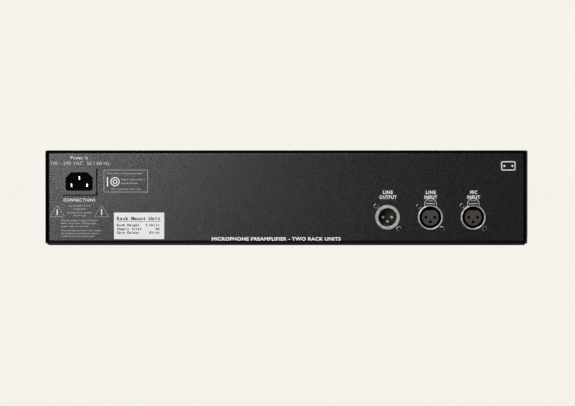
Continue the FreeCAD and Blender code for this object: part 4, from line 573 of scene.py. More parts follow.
class Printer:
    """Prints flat marks on a vertical face. Across is to the right as the face is read."""

    def __init__(self, face_y, side, thickness):
        self.face_y = face_y
        self.side = side
        self.thickness = thickness
        self.marks = []

    def to_x(self, across):
        """The face's own right is -X on the rear and +X on the front."""
        return -self.side * across

    def lay(self, piece):
        self.marks.append(piece)
        return piece

    def block(self, across, up, width, height):
        """A filled rectangle about a centre."""
        x = self.to_x(across)
        y = sorted((self.face_y, self.face_y + self.side * self.thickness))
        low = (x - width / 2, y[0], up - height / 2)
        high = (x + width / 2, y[1], up + height / 2)
        return self.lay(slab("mark", low, high))

    def stroke(self, start, end, width):
        """A straight line between two points of the face."""
        start, end = Vector(start), Vector(end)
        run = end - start
        piece = self.block(0, 0, run.length, width)
        self.marks.pop()
        angle = math.atan2(run.y, self.to_x(run.x))
        centre = (start + end) / 2
        turn = Matrix.Rotation(-angle, 4, "Y")
        shift = Matrix.Translation((self.to_x(centre.x), 0, centre.y))
        piece.data.transform(shift @ turn)
        return self.lay(piece)

    def outline(self, corners, width):
        """A closed line through corners."""
        for start, end in zip(corners, corners[1:] + corners[:1]):
            self.stroke(start, end, width)

    def frame(self, across, up, width, height, line):
        right, top = width / 2, height / 2
        corners = [(-right, -top), (right, -top), (right, top), (-right, top)]
        self.outline([(across + x, up + z) for x, z in corners], line)

    def disc(self, across, up, radius):
        y = min(self.face_y, self.face_y + self.side * self.thickness)
        start = (self.to_x(across), y, up)
        return self.lay(rod("mark", start, radius, self.thickness, 24))

    def arc(self, across, up, radius, width, first, last, steps=24):
        """Part of a circle, between two bearings."""
        at = Vector((across, up))
        turns = [first + (last - first) * step / steps for step in range(steps + 1)]
        points = [at + bearing(turn) * radius for turn in turns]
        for start, end in zip(points, points[1:]):
            self.stroke(start, end, width)

    def ticks(self, across, up, inner, outer, width, count, sweep):
        """Short lines round a centre, spread evenly over a sweep each side of the top."""
        at = Vector((across, up))
        for out in spread(sweep, count):
            self.stroke(at + out * inner, at + out * outer, width)

    def words(self, text, across, up, height, width=None, weight=0.0, align=0, gap=1.0):
        """Lettering with a height for its capitals and, if given, a whole width.

        align is 0 for centred on across, and 1 for starting there. gap spaces the letters.
        """
        deselect()
        bpy.ops.object.text_add()
        letters = bpy.context.object
        letters.data.body = text
        letters.data.offset = weight
        letters.data.space_character = gap
        letters.data.resolution_u = 4
        letters.data.extrude = 0.5
        bpy.ops.object.convert(target="MESH")
        letters = bpy.context.object
        low, high = measured(letters)
        scale_z = height / CAP_HEIGHT
        scale_x = width / (high.x - low.x) if width else scale_z
        start = low.x if align else (low.x + high.x) / 2
        spin = Matrix.Rotation(math.pi / 2, 4, "X")
        if self.side == REAR:
            spin = Matrix.Rotation(math.pi, 4, "Z") @ spin
        size = Matrix.Diagonal((scale_x, scale_z, self.thickness, 1))
        depth = self.face_y + self.side * self.thickness / 2
        place = Matrix.Translation((self.to_x(across), depth, up - height / 2))
        letters.data.transform(place @ spin @ size @ Matrix.Translation((-start, 0, 0)))
        return self.lay(letters)

    def typed(self, text, left, up, pitch, height, weight):
        """Typewriter lettering: every letter takes the same room."""
        for step, letter in enumerate(text):
            if letter != " ":
                self.words(letter, left + pitch * (step + 0.5), up, height, None, weight)

    def finish(self, name, ink, slot, body=CHASSIS):
        return finish_piece(unite(name, self.marks), ink, body)


# ---- Settings that a user would change ----


class PreampLooks(bpy.types.PropertyGroup):
    """Colours and sizes of the preamp's finishes."""

    coat_colour: FloatVectorProperty(
        name="Coat colour",
        description="Powder coat on the cover, tray and rear panel",
        subtype="COLOR",
        size=3,
        default=(0.0074, 0.0076, 0.0088),
    )
    grain_scale: FloatProperty(
        name="Grain scale", description="Orange peel cells in each metre", default=1000.0
    )
    ink_colour: FloatVectorProperty(
        name="Ink colour",
        description="Screen print on the panels",
        subtype="COLOR",
        size=3,
        default=(0.94, 0.94, 0.93),
    )
    fine_ink: FloatProperty(
        name="Fine ink",
        description="Brightness of the thinly inked small print, as a share of the bold print's",
        default=0.52,
    )
    label_colour: FloatVectorProperty(
        name="Label colour",
        description="Vinyl of the identification label",
        subtype="COLOR",
        size=3,
        default=(0.93, 0.93, 0.92),
    )
    print_thickness: FloatProperty(
        name="Print thickness",
        description="How far ink stands off a panel",
        subtype="DISTANCE",
        default=0.06 * MM,
    )


class PreampStage(bpy.types.PropertyGroup):
    """Camera and light."""

    distance: FloatProperty(
        name="Camera distance",
        description="From the rear panel to the camera",
        subtype="DISTANCE",
        default=2.43,
    )
    rise: FloatProperty(
        name="Camera height",
        description="Camera above the middle of the case",
        subtype="DISTANCE",
        default=0.029,
    )
    aim_drop: FloatProperty(
        name="Aim",
        description="Point aimed at, below the middle of the case",
        subtype="DISTANCE",
        default=0.0047,
    )
    lens: FloatProperty(name="Lens", description="Focal length in millimetres", default=169.7)
    backdrop: FloatVectorProperty(
        name="Backdrop",
        description="Paper behind and below",
        subtype="COLOR",
        size=3,
        default=(0.922, 0.896, 0.839),
    )


# ---- Pieces ----


class PREAMP_OT_case(bpy.types.Operator):
    """Coats the sheet metal and its screws"""

    bl_idname = "preamp.case"
    bl_label = "Case"

    def execute(self, context):
        dress("bottom_tray", self.tray_coat())
        dress("rear_panel", powder_coat("rear_coat", 0.15))
        dress("top_cover", powder_coat("cover_coat", -0.28, highest("top_cover").y))
        dress("front_panel", enamel())
        dress("cover_gasket", foam("cover_foam"))
        dress("case_screws", satin_metal("black_oxide", (0.030, 0.030, 0.032), 0.38))
        return {"FINISHED"}

    def tray_coat(self):
        """The same powder, with painted shadow on the upright edges and the lip by the rear panel.
        """
        finish = powder_coat("tray_coat", -0.12)
        side, up = finish.axis("X"), finish.axis("Z")
        outer = finish.fade((side * side) ** 0.5, CASE_SIDE - 4.5 * MM, CASE_SIDE - 3.5 * MM)
        above = finish.fade(up, CASE_BOTTOM + 3.0 * MM, CASE_BOTTOM + 4.0 * MM)
        back = finish.fade(finish.axis("Y"), PANEL_REAR - 14 * MM, PANEL_REAR - 13 * MM)
        # Painted shadow: the edges that sit in the dark gap between the cover and the rear panel.
        worn = back * (outer * above + 0.65 * (1.0 - above))
        finish.cover_with(PAINTED_SHADOW_BLACK, worn)
        return finish


def ring_and_hood(name, centre, bright, dark, band):
    """One casting: a bright ring, a bore in painted shadow, and a blackened hood outside the ring.

    band is the width of the ring that is bright, from its outside inwards: inward of it, the
    ring is in painted shadow.
    """
    finish = Finish(name)
    radius = finish.radius(centre)
    hood = finish.fade(radius, RING_RADIUS - 0.05 * MM, RING_RADIUS + 0.15 * MM)
    grain = finish.noise(1100.0, 4.0)
    worn = finish.fade(finish.noise(620.0, 3.0), 0.42, 0.62)
    dull = tuple(c * 0.42 for c in bright)
    metal = finish.blend(worn * 0.65 + grain * 0.25, bright, dull)
    # Painted highlight: the hood's rim is lifted from black to near white, as an edge that catches
    # the light.
    arch = finish.radius(centre + Vector((0, 0, HOOD_RISE)))
    rim = finish.fade(arch, HOOD_RADIUS - 0.50 * MM, HOOD_RADIUS - 0.25 * MM)
    black = finish.blend(grain * 0.1 + rim * 0.9, dark, tuple(c * 75.0 for c in dark))
    finish.set("Base Color", finish.blend(hood, metal, black))
    # Painted shadow: the bore, and the ring inward of band, are covered nearly black.
    bore = finish.fade(finish.axis("Y"), PANEL_REAR - 0.2 * MM, PANEL_REAR - 2.6 * MM)
    inside = finish.fade(radius, RING_RADIUS - band, RING_RADIUS - band - 0.3 * MM)
    shadow = bore + inside - bore * inside
    finish.cover_with((0.0030, 0.0028, 0.0026), shadow * 0.9)
    finish.set("Metallic", 1.0 - 0.55 * hood)
    finish.set("Roughness", 0.40 + 0.16 * grain + 0.06 * worn)
    finish.bump(grain, 0.00008, 0.6)
    return finish


def socket_nylon(name, face, shade, centres=()):
    """Dark moulded nylon: a face in the nylon's tone, and a groove and hollows in painted shade.

    The face is a disc about each of the centres, or is all of the front without them.
    """
    finish = Finish(name, IOR=1.5)
    grain = finish.noise(800.0, 3.0)
    high = finish.fade(finish.axis("Y"), face - 3.0 * MM, face - 0.8 * MM)
    if centres:
        high = high * finish.discs(centres, FACE_RADIUS)
    # shade darkens the nylon as painted shade, most for the male insert deep in its cup.
    low, high_tone = Vector((0.040, 0.031, 0.028)), Vector((0.062, 0.050, 0.046))
    nylon = finish.blend(grain, low * shade, high_tone * shade)
    # Painted shade: everything behind the face is nearly black.
    finish.surface(
        finish.blend(high, (0.003, 0.003, 0.003), nylon), 0.75 - 0.30 * high + 0.1 * grain
    )
    finish.bump(grain, 0.00006, 0.5)
    return finish


def worn_screw(name, centres):
    """Black-plated screws: dark heads, painted glints on the rims, painted shade in the recesses.
    """
    finish = Finish(name, Metallic=1.0)
    head = finish.discs(centres, SCREW_RADIUS - 0.55 * MM, 0.2 * MM)
    painted_recess_shade = finish.discs(centres, 1.1 * MM)
    # Painted highlight: glints in noise patches lift the rims to near white.
    painted_glint = finish.fade(finish.noise(330.0, 2.0), 0.42, 0.56)
    rim = finish.blend(painted_glint, (0.05, 0.05, 0.048), (0.85, 0.84, 0.80))
    finish.set("Base Color", finish.blend(head, rim, (0.09, 0.09, 0.086)))
    # Painted shade in the screw recesses.
    finish.cover_with((0.0016, 0.0016, 0.0016), painted_recess_shade * 0.9)
    finish.set("Roughness", 0.34 + 0.1 * painted_glint)
    return finish


class PREAMP_OT_sockets(bpy.types.Operator):
    """Finishes the three audio sockets and marks their release tabs"""

    bl_idname = "preamp.sockets"
    bl_label = "Audio sockets"

    def execute(self, context):
        corner = Vector((SCREW_OFFSET, 0.0, SCREW_OFFSET))
        centres = {name: socket_centre(name) for name in ("line_output", *FEMALE_SOCKETS)}
        for name, centre in centres.items():
            bright, band = FEMALE_RING if name in FEMALE_SOCKETS else MALE_RING
            casting = ring_and_hood(name + "_casting", centre, bright, HOOD_BLACK, band)
            dress(name + "_shell", casting)
        screws = [at + side * corner for at in centres.values() for side in (1, -1)]
        females = [centres[name] for name in FEMALE_SOCKETS]
        cup_floor = PANEL_REAR - CUP_DEPTH
        # The male insert sits deep in its cup: its nylon is darkened as painted shade.
        dress("line_output_insert", socket_nylon("male_nylon", cup_floor, 0.25))
        dress("female_inserts", socket_nylon("female_nylon", PANEL_REAR, 0.9, females))
        dress("line_output_pins", satin_metal("silver_plate", (0.98, 0.97, 0.94), 0.38))
        dress("female_contacts", satin_metal("gold_flash", (0.10, 0.075, 0.035), 0.45))
        dress("socket_screws", worn_screw("black_zinc", screws))
        self.release_tabs()
        return {"FINISHED"}

    def release_tabs(self):
        """Each tab has a printed mark and a steel lip, which ride on it."""
        tab = moulded_plastic("tab_plastic", (0.020, 0.020, 0.021), 0.35)
        steel = satin_metal("latch_steel", (0.80, 0.80, 0.76), 0.40)
        grey = printing_ink("tab_print", (0.60, 0.60, 0.59))
        for name in FEMALE_SOCKETS:
            dress(name + "_latch", tab)
            low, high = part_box(name + "_latch")
            printer = Printer(high.y, REAR, looks().print_thickness)
            across = printer.to_x((low.x + high.x) / 2)
            up = low.z + (high.z - low.z) * MARK_SHARE
            printer.words("PUSH", across, up, 1.0 * MM, 4.2 * MM, 0.02)
            printer.finish(name + "_tab_mark", grey, "black_moulding", name + "_tab")
            rise = socket_centre(name).z + LIP_RISE
            lip = slab(
                name + "_latch_lip",
                (low.x + 0.6 * MM, high.y - 0.4 * MM, rise - 0.35 * MM),
                (high.x - 0.6 * MM, high.y + 0.3 * MM, rise + 0.35 * MM),
                0.15 * MM,
            )
            finish_piece(lip, steel, name + "_tab")


class PREAMP_OT_inlet(bpy.types.Operator):
    """Finishes the mains inlet"""

    bl_idname = "preamp.inlet"
    bl_label = "Mains inlet"

    def execute(self, context):
        low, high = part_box("power_inlet_body")
        nylon = Finish("inlet_nylon", IOR=1.5)
        grain = nylon.noise(900.0, 3.0)
        nylon.surface(
            nylon.blend(grain, (0.016, 0.016, 0.018), (0.030, 0.030, 0.033)), 0.26 + 0.10 * grain
        )
        nylon.bump(grain, 0.00008, 0.5)
        # Painted shade: the cavity goes nearly black deeper than 1.2 mm behind the front.
        depth = nylon.fade(nylon.axis("Y"), high.y - 1.2 * MM, high.y - 5.0 * MM)
        nylon.cover_with((0.0022, 0.0022, 0.0024), depth * 0.93)
        dress("power_inlet_body", nylon)
        # Painted shadow: a thin near-black strip that shows past the bezel to the right and below,
        # as seen from the rear, where the bezel casts its shadow.
        shadow_strip = slab(
            "inlet_shadow_strip",
            (low.x - 0.9 * MM, PANEL_REAR, low.z - 0.9 * MM),
            (high.x - 0.3 * MM, PANEL_REAR + 0.3 * MM, high.z - 0.3 * MM),
            0.1 * MM,
        )
        finish_piece(shadow_strip, rubber(), CHASSIS)
        dress("power_inlet_blades", satin_metal("nickel_blade", (0.86, 0.85, 0.82), 0.20))
        return {"FINISHED"}


class PREAMP_OT_rear_print(bpy.types.Operator):
    """Prints the rear panel's legends, boxes and small print"""

    bl_idname = "preamp.rear_print"
    bl_label = "Rear legends"

    def execute(self, context):
        bold = Printer(PANEL_REAR, REAR, looks().print_thickness)
        fine = Printer(PANEL_REAR, REAR, looks().print_thickness)
        self.supply_block(bold, fine)
        self.data_box(bold, fine)
        self.notes_block(bold, fine)
        for name, upper, lower in (
            ("line_output", "LINE", "OUTPUT"),
            ("line_input", "LINE", "INPUT"),
            ("mic_input", "MIC", "INPUT"),
        ):
            self.socket_legend(bold, socket_centre(name), upper, lower)
        footer = "MICROPHONE PREAMPLIFIER - TWO RACK UNITS"
        bold.words(footer, -9.1 * MM, -36.8 * MM, 3.0 * MM, 115.7 * MM, 0.034, gap=1.08)
        self.corner_mark(bold)
        ink = looks().ink_colour
        bold.finish("rear_legends", printing_ink("white_ink", ink), "label_white")
        faint = tuple(part * looks().fine_ink for part in ink)
        fine.finish("rear_small_print", printing_ink("thin_ink", faint), "label_white")
        return {"FINISHED"}

    def supply_block(self, bold, fine):
        """Two centred lines over the mains inlet."""
        across = bold.to_x(middle("power_inlet_body").x)
        top = highest("power_inlet_body").z
        bold.words("Power In", across, top + 9.6 * MM, 3.0 * MM, 15.4 * MM, 0.0, gap=1.1)
        rating = "100 - 240 VAC  50 / 60 Hz"
        fine.words(rating, across + 0.9 * MM, top + 4.6 * MM, 3.2 * MM, 52.4 * MM, 0.008)

    def data_box(self, bold, fine):
        """A ruled box with a plain ring symbol and small print."""
        across = bold.to_x(middle("power_inlet_body").x) + 41.6 * MM
        up = middle("power_inlet_body").z + 0.4 * MM
        fine.frame(across, up, 39.1 * MM, 19.7 * MM, 0.42 * MM)
        left = across - 17.6 * MM
        for text, start, rise, width in (
            ("Two unit rack preamplifier", 0.0, 6.9, 33.2),
            ("Steel case with a", 13.6, 1.5, 21.4),
            ("black finish", 13.6, -1.9, 14.4),
            ("For a nineteen inch rack", 4.7, -7.1, 26.6),
        ):
            at = left + start * MM
            fine.words(text, at, up + rise * MM, SMALL_PRINT, width * MM, 0.012, 1)
        symbol = left + 8.0 * MM
        bold.arc(symbol, up - 0.6 * MM, 3.7 * MM, 0.9 * MM, 0, 360, 28)
        bold.arc(symbol, up - 0.6 * MM, 1.7 * MM, 0.8 * MM, 0, 360, 20)
        bold.block(left + 1.2 * MM, up - 0.6 * MM, 1.0 * MM, 8.4 * MM)

    def notes_block(self, bold, fine):
        """A heading, two plain triangles and notes about the connections."""
        centre = bold.to_x(middle("power_inlet_body").x)
        bold.words("CONNECTIONS", centre, -1.9 * MM, 2.8 * MM, 28.6 * MM, 0.012, gap=1.15)
        for side in (-1, 1):
            self.triangle(bold, fine, centre + side * 19.9 * MM, -17.0 * MM)
        for text, up, width in (
            ("ALL SOCKETS HAVE", -7.2, 19.7),
            ("THREE PINS", -10.2, 11.3),
            ("PIN ONE IS THE SCREEN", -13.4, 22.4),
            ("TWO IS LIVE", -15.9, 12.4),
        ):
            fine.words(text, centre, up * MM, 1.3 * MM, width * MM, 0.010)
        left = centre - 16.3 * MM
        for text, up, width in (
            ("The line output is balanced and it", -20.2, 33.0),
            ("feeds a long cable. The line input", -22.8, 31.5),
            ("takes a mixer or a recorder", -25.5, 24.7),
            ("The microphone input has a supply", -29.2, 36.0),
            ("for condenser microphones, which is", -31.9, 34.0),
            ("switched from the front panel", -34.5, 29.6),
        ):
            fine.words(text, left, up * MM, SMALL_PRINT, width * MM, 0.010, 1)

    def triangle(self, bold, fine, across, base):
        """An outlined triangle with a plain bar in it."""
        half, height = 6.5 * MM, 10.2 * MM
        corners = [(across - half, base), (across + half, base), (across, base + height)]
        fine.outline(corners, 0.28 * MM)
        bold.block(across, base + height * 0.40, 1.0 * MM, height * 0.5)

    def socket_legend(self, printer, centre, upper, lower):
        """Two condensed bold lines over a socket."""
        across = printer.to_x(centre.x) + 0.25 * MM
        for text, rise in ((upper, 22.6 * MM), (lower, 18.2 * MM)):
            letters = len(text) - 0.55 * text.count("I")
            width = letters * 2.58 * MM
            printer.words(text, across, centre.z + rise, 3.1 * MM, width, 0.030, gap=1.16)

    def corner_mark(self, printer):
        """A plain rack symbol near the corner: a panel with its two fixing points."""
        across, up = 199 * MM, 28.6 * MM
        printer.frame(across, up, 12.0 * MM, 7.4 * MM, 0.9 * MM)
        for side in (-1, 1):
            printer.disc(across + side * 3.6 * MM, up, 0.9 * MM)


class PREAMP_OT_label(bpy.types.Operator):
    """Types the identification label"""

    bl_idname = "preamp.label"
    bl_label = "Label"

    def execute(self, context):
        dress("identity_label", label_film())
        centre = middle("identity_label")
        printer = Printer(highest("identity_label").y, REAR, looks().print_thickness / 2)
        across = printer.to_x(centre.x)
        left = across - 19.9 * MM
        printer.typed("Rack Mount Unit", left, centre.z + 6.7 * MM, 2.6 * MM, 2.9 * MM, 0.050)
        printer.block(across, centre.z + 4.0 * MM, 39.5 * MM, 0.34 * MM)
        for name, value, rise in (
            ("Rack Height", "2 Units", 0.8),
            ("Supply Inlet", "AC", -2.6),
            ("Case Colour", "Black", -5.9),
        ):
            up = centre.z + rise * MM
            end = across + 18.4 * MM - len(value) * 1.8 * MM
            printer.typed(name, left, up, 1.84 * MM, 2.0 * MM, 0.062)
            printer.typed(value, end, up, 1.8 * MM, 1.9 * MM, 0.060)
        black = printing_ink("black_ink", (0.02, 0.02, 0.02))
        printer.finish("label_print", black, "black_moulding")
        return {"FINISHED"}


class PREAMP_OT_knobs(bpy.types.Operator):
    """Finishes the knobs and fills their pointer grooves with paint"""

    bl_idname = "preamp.knobs"
    bl_label = "Knobs"

    def execute(self, context):
        white = printing_ink("pointer_paint", (0.82, 0.82, 0.80))
        phenolic = moulded_plastic("knob_phenolic", (0.012, 0.012, 0.013), 0.28, 900.0, 0.00002)
        for name in KNOBS:
            dress(name + "_knob", phenolic)
            axis = pivot_of(name + "_turn")
            dress(name + "_shaft", turned_metal(name + "_steel", (0.6, 0.6, 0.6), axis))
            self.pointer(name, axis, white)
            self.inlay(name, axis)
        dress("panel_nuts", satin_metal("nickel_nut", (0.62, 0.61, 0.58), 0.25))
        dress("rotary_controls", moulded_plastic("control_can", (0.05, 0.05, 0.055), 0.4))
        return {"FINISHED"}

    def pointer(self, name, axis, white):
        """A painted line in the groove across the face."""
        low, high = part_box(name + "_knob")
        outer_end = (high.x - low.x) / 2 - 4.3 * MM
        start = (axis.x - 0.6 * MM, low.y + 0.05 * MM, axis.z + 3.6 * MM)
        end = (axis.x + 0.6 * MM, low.y + 0.40 * MM, axis.z + outer_end)
        line = slab(name + "_pointer", start, end, 0.1 * MM)
        finish_piece(line, white, name + "_control")

    def inlay(self, name, axis):
        """A thin turned disc let into the middle of the face."""
        low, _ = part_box(name + "_knob")
        start = (axis.x, low.y - 0.25 * MM, axis.z)
        disc = rod(name + "_inlay", start, INLAY_RADIUS, 0.35 * MM, 48, 0.08 * MM)
        metal = turned_metal(name + "_inlay_metal", (0.72, 0.72, 0.72), axis, 0.22)
        finish_piece(disc, metal, name + "_control")


class PREAMP_OT_toggles(bpy.types.Operator):
    """Finishes the toggle switches"""

    bl_idname = "preamp.toggles"
    bl_label = "Toggle switches"

    def execute(self, context):
        chrome = satin_metal("lever_chrome", (0.80, 0.80, 0.79), 0.08, 400.0)
        dress_all(chrome, *(name + "_lever" for name in TOGGLES))
        dress("toggle_bodies", satin_metal("bushing_nickel", (0.6, 0.59, 0.56), 0.3))
        return {"FINISHED"}


class PREAMP_OT_front_print(bpy.types.Operator):
    """Prints the front panel's scales and names"""

    bl_idname = "preamp.front_print"
    bl_label = "Front legends"

    def execute(self, context):
        printer = Printer(PANEL_FRONT, FRONT, looks().print_thickness)
        names = {
            "input_select": "INPUT",
            "gain": "GAIN",
            "low_tone": "LOW",
            "high_tone": "HIGH",
            "level": "LEVEL",
        }
        for name, stops in KNOBS.items():
            self.scale(printer, name, stops, names[name])
        for name, text in zip(TOGGLES, ("48V", "PHASE", "PAD", "POWER")):
            self.switch_legend(printer, name, text)
        jack = middle("instrument_jack")
        printer.words("INSTRUMENT", jack.x, jack.z + 15 * MM, 2.2 * MM, 21 * MM, 0.012)
        printer.words(
            "MICROPHONE PREAMPLIFIER",
            (middle("input_select_knob").x + middle("gain_knob").x) / 2,
            33 * MM,
            3.2 * MM,
            74 * MM,
            0.012,
        )
        tone = (middle("low_tone_knob").x + middle("high_tone_knob").x) / 2
        printer.words("TONE", tone, 33 * MM, 3.0 * MM, 13 * MM, 0.012)
        ink = printing_ink("front_ink", looks().ink_colour)
        printer.finish("front_legends", ink, "label_white")
        return {"FINISHED"}

    def scale(self, printer, name, stops, text):
        """Ticks round a knob, its name below, and a number at each stop of a switch.

        A potentiometer has a number at its middle and at its two ends.
        """
        low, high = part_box(name + "_knob")
        radius = (high.x - low.x) / 2
        centre = middle(name + "_knob")
        sweep = 60 if stops == 5 else 150
        inner = radius + 1.6 * MM
        printer.ticks(centre.x, centre.z, inner, inner + 2.2 * MM, 0.4 * MM, stops, sweep)
        reach = inner + 4.6 * MM
        for step, out in enumerate(spread(sweep, stops)):
            if name in SWITCHES or step % 5 == 0:
                across, up = centre.x + reach * out.x, centre.z + reach * out.y
                number = step + 1 if stops == 5 else step
                printer.words(str(number), across, up, 2.2 * MM, None, 0.02)
        printer.words(text, centre.x, centre.z - radius - 9.2 * MM, 2.8 * MM, None, 0.014)

    def switch_legend(self, printer, name, text):
        pivot = pivot_of(name + "_flip")
        printer.words(text, pivot.x, pivot.z + 14 * MM, 2.2 * MM, None, 0.012)
        printer.words("ON", pivot.x, pivot.z + 9.4 * MM, 1.6 * MM, None, 0.006)


class PREAMP_OT_meter(bpy.types.Operator):
    """Finishes the level meter and draws its scale"""

    bl_idname = "preamp.meter"
    bl_label = "Level meter"

    def execute(self, context):
        black = (0.010, 0.010, 0.011)
        dress("meter_bezel", moulded_plastic("meter_plastic", black, 0.22, 700.0, 0.00001))
        dress("meter_case", moulded_plastic("meter_tub", (0.03, 0.03, 0.03), 0.5))
        dress("meter_window", clear_glass("meter_acrylic"))
        dress("meter_dial", dial_card())
        dress("meter_needle", satin_metal("needle_lacquer", (0.02, 0.02, 0.02), 0.4))
        dress("meter_movement", satin_metal("magnet_steel", (0.3, 0.3, 0.3), 0.35))
        self.draw_scale()
        return {"FINISHED"}

    def draw_scale(self):
        """A level scale: fine to the left, crowded marks, and a thick red end."""
        face = lowest("meter_dial").y
        pivot = pivot_of("needle_swing")
        black = Printer(face, FRONT, looks().print_thickness / 2)
        red = Printer(face, FRONT, looks().print_thickness / 2)
        at = Vector((pivot.x, pivot.z))
        radius = 24.0 * MM
        end_black, last = 18, 42
        black.arc(pivot.x, pivot.z, radius, 0.5 * MM, -last, end_black)
        red.arc(pivot.x, pivot.z, radius + 0.4 * MM, 1.1 * MM, end_black, last, 12)
        levels = (-20, -10, -7, -5, -3, -1, 0, 1, 2, 3)
        places = (-42, -26, -16, -7, 4, 13, 18, 25, 33, 42)
        for level, degrees in zip(levels, places):
            printer = red if level > 0 else black
            out = bearing(degrees)
            printer.stroke(at + out * radius, at + out * (radius + 2.4 * MM), 0.42 * MM)
            text = at + out * (radius + 4.4 * MM)
            printer.words(str(abs(level)), text.x, text.y, 1.8 * MM, None, 0.03)
        black.words("VU", pivot.x, pivot.z + 14.5 * MM, 3.8 * MM, None, 0.03)
        dark_ink = printing_ink("scale_black", (0.02, 0.02, 0.02))
        black.finish("meter_scale", dark_ink, "black_moulding")
        red.finish("meter_red_scale", printing_ink("scale_red", (0.55, 0.03, 0.02)), "lamp_red")


class PREAMP_OT_lamp_and_jack(bpy.types.Operator):
    """Finishes the pilot lamp and the instrument jack"""

    bl_idname = "preamp.lamp_and_jack"
    bl_label = "Lamp and jack"

    def execute(self, context):
        centre = middle("pilot_lamp_bezel")
        metal = turned_metal("lamp_bezel_metal", (0.72, 0.71, 0.69), centre, 0.18)
        dress("pilot_lamp_bezel", metal)
        dress("pilot_lamp_lens", lamp_lens())
        dress("instrument_jack", moulded_plastic("jack_nylon", (0.018, 0.018, 0.018), 0.4))
        return {"FINISHED"}


class PREAMP_OT_inside(bpy.types.Operator):
    """Finishes what stands inside the case, seen through the vents"""

    bl_idname = "preamp.inside"
    bl_label = "Inside"

    def execute(self, context):
        dress_all(solder_mask(), "main_board", "power_supply_board", "control_board")
        dress_all(laminations(), "output_transformer", "supply_transformer")
        can = satin_metal("drawn_can", (0.62, 0.62, 0.63), 0.25, 300.0, (1, 1, 0.1))
        dress("input_transformer", can)
        dress("capacitors", resin())
        dress("valves", clear_glass("valve_envelope"))
        dress("valve_sockets", ceramic())
        zinc = satin_metal("zinc_plate", (0.66, 0.66, 0.64), 0.28)
        dress_all(zinc, "board_screws", "board_standoffs")
        dress("board_connectors", moulded_plastic("connector_nylon", (0.62, 0.60, 0.53), 0.4))
        dress("ribbon_cable", insulation("ribbon_grey", (0.36, 0.36, 0.38)))
        dress("mains_leads", insulation("lead_brown", (0.16, 0.05, 0.02)))
        dress("audio_leads", insulation("lead_grey", (0.22, 0.22, 0.23)))
        return {"FINISHED"}


# ---- Stage ----


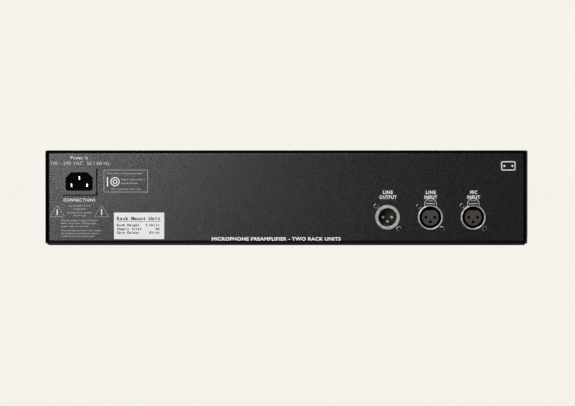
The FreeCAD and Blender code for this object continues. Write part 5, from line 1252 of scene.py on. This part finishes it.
class PREAMP_OT_stage(bpy.types.Operator):
    """Sets out the camera, the lights and a pale seamless floor"""

    bl_idname = "preamp.stage"
    bl_label = "Stage"

    def execute(self, context):
        scene = context.scene
        scene.view_settings.view_transform = "Standard"
        scene.view_settings.look = "None"
        self.place_camera(scene)
        self.paint_world(scene)
        self.lay_floor(scene)
        centre, origin = Vector((0, PANEL_REAR, 0)), Vector()
        beside = centre + Vector((0.80, 2.0, 0.45))
        for name, where, size, watts, aim in (
            ("key", beside, (1.0, 1.2), 31.0, beside - Vector((0, 1, 0))),
            ("top", centre + Vector((0.5, 0.9, 1.5)), (1.0, 0.6), 20.0, centre),
            ("front", Vector((-0.8, -1.5, 0.9)), (1.3, 1.3), 70.0, origin),
            ("rim", centre + Vector((1.1, 0.15, 0.35)), (0.5, 0.9), 3.0, centre),
        ):
            self.softbox(name, where, size, watts, aim)
        return {"FINISHED"}

    def place_camera(self, scene):
        stage = scene.preamp_stage
        lens = bpy.data.cameras.new("rear_camera")
        lens.lens = stage.lens
        lens.sensor_width = SENSOR_WIDTH
        lens.clip_end = FARTHEST
        camera = bpy.data.objects.new("rear_camera", lens)
        scene.collection.objects.link(camera)
        aim = Vector((AIM_ACROSS, PANEL_REAR, -stage.aim_drop))
        camera.location = (aim.x, PANEL_REAR + stage.distance, stage.rise)
        camera.rotation_euler = (aim - camera.location).to_track_quat("-Z", "Y").to_euler()
        scene.camera = camera

    def for_camera(self, tree, output, seen, lit, share=1.0):
        """Shows the camera one shader, by a share, and the rest of the light another."""
        rays = tree.nodes.new("ShaderNodeLightPath")
        weight = tree.nodes.new("ShaderNodeMath")
        weight.operation = "MULTIPLY"
        weight.inputs[1].default_value = share
        tree.links.new(rays.outputs["Is Camera Ray"], weight.inputs[0])
        mix = tree.nodes.new("ShaderNodeMixShader")
        for socket, source in zip(mix.inputs, (weight, lit, seen)):
            tree.links.new(source.outputs[0], socket)
        tree.links.new(mix.outputs[0], tree.nodes[output].inputs[0])

    def paint_world(self, scene):
        """The backdrop's colour for the camera, and a dimmer grey for light."""
        world = bpy.data.worlds.new("studio")
        world.use_nodes = True
        scene.world = world
        seen = world.node_tree.nodes["Background"]
        seen.inputs["Color"].default_value = (*scene.preamp_stage.backdrop, 1)
        fill = world.node_tree.nodes.new("ShaderNodeBackground")
        fill.inputs["Color"].default_value = FILL_COLOUR
        fill.inputs["Strength"].default_value = FILL_STRENGTH
        self.for_camera(world.node_tree, "World Output", seen, fill)

    def lay_floor(self, scene):
        """A round of pale paper in the backdrop's colour, with a faint shadow near the case."""
        deselect()
        centre = (0, PANEL_REAR / 2, CASE_BOTTOM - 0.1 * MM)
        bpy.ops.mesh.primitive_circle_add(
            vertices=96, radius=FLOOR_RADIUS, fill_type="NGON", location=centre
        )
        floor = set_down()
        floor.name = "floor"
        material = bpy.data.materials.new("paper_floor")
        material.use_nodes = True
        tree = material.node_tree
        paper = tree.nodes["Principled BSDF"]
        paper.inputs["Base Color"].default_value = PAPER_COLOUR
        paper.inputs["Roughness"].default_value = 1.0
        glow = tree.nodes.new("ShaderNodeEmission")
        glow.inputs["Color"].default_value = (*scene.preamp_stage.backdrop, 1)
        self.for_camera(tree, "Material Output", glow, paper, FLOOR_GLOW)
        floor.data.materials.append(material)

    def softbox(self, name, where, size, power, aim):
        light = bpy.data.lights.new(name, "AREA")
        light.shape = "RECTANGLE"
        light.size, light.size_y = size
        light.energy = power
        lamp = bpy.data.objects.new(name, light)
        bpy.context.scene.collection.objects.link(lamp)
        lamp.location = where
        lamp.rotation_euler = (aim - Vector(where)).to_track_quat("-Z", "Y").to_euler()


# ---- Add-on ----

STEPS = (
    PREAMP_OT_stage,
    PREAMP_OT_case,
    PREAMP_OT_sockets,
    PREAMP_OT_inlet,
    PREAMP_OT_rear_print,
    PREAMP_OT_label,
    PREAMP_OT_knobs,
    PREAMP_OT_toggles,
    PREAMP_OT_front_print,
    PREAMP_OT_meter,
    PREAMP_OT_lamp_and_jack,
    PREAMP_OT_inside,
)


class PREAMP_PT_panel(bpy.types.Panel):
    """Lists the preamp's steps"""

    bl_label = "Preamp"
    bl_space_type = "VIEW_3D"
    bl_region_type = "UI"
    bl_category = "Preamp"

    def draw(self, context):
        for step in STEPS:
            self.layout.operator(step.bl_idname)
        for group in (context.scene.preamp_looks, context.scene.preamp_stage):
            for name in group.__annotations__:
                self.layout.prop(group, name)


CLASSES = (PreampLooks, PreampStage, *STEPS, PREAMP_PT_panel)


def register():
    for cls in CLASSES:
        bpy.utils.register_class(cls)
    bpy.types.Scene.preamp_looks = PointerProperty(type=PreampLooks)
    bpy.types.Scene.preamp_stage = PointerProperty(type=PreampStage)


def unregister():
    del bpy.types.Scene.preamp_stage
    del bpy.types.Scene.preamp_looks
    for cls in reversed(CLASSES):
        bpy.utils.unregister_class(cls)


def main():
    register()
    for step in STEPS:
        family, name = step.bl_idname.split(".")
        getattr(getattr(bpy.ops, family), name)()


if __name__ == "__main__":
    main()
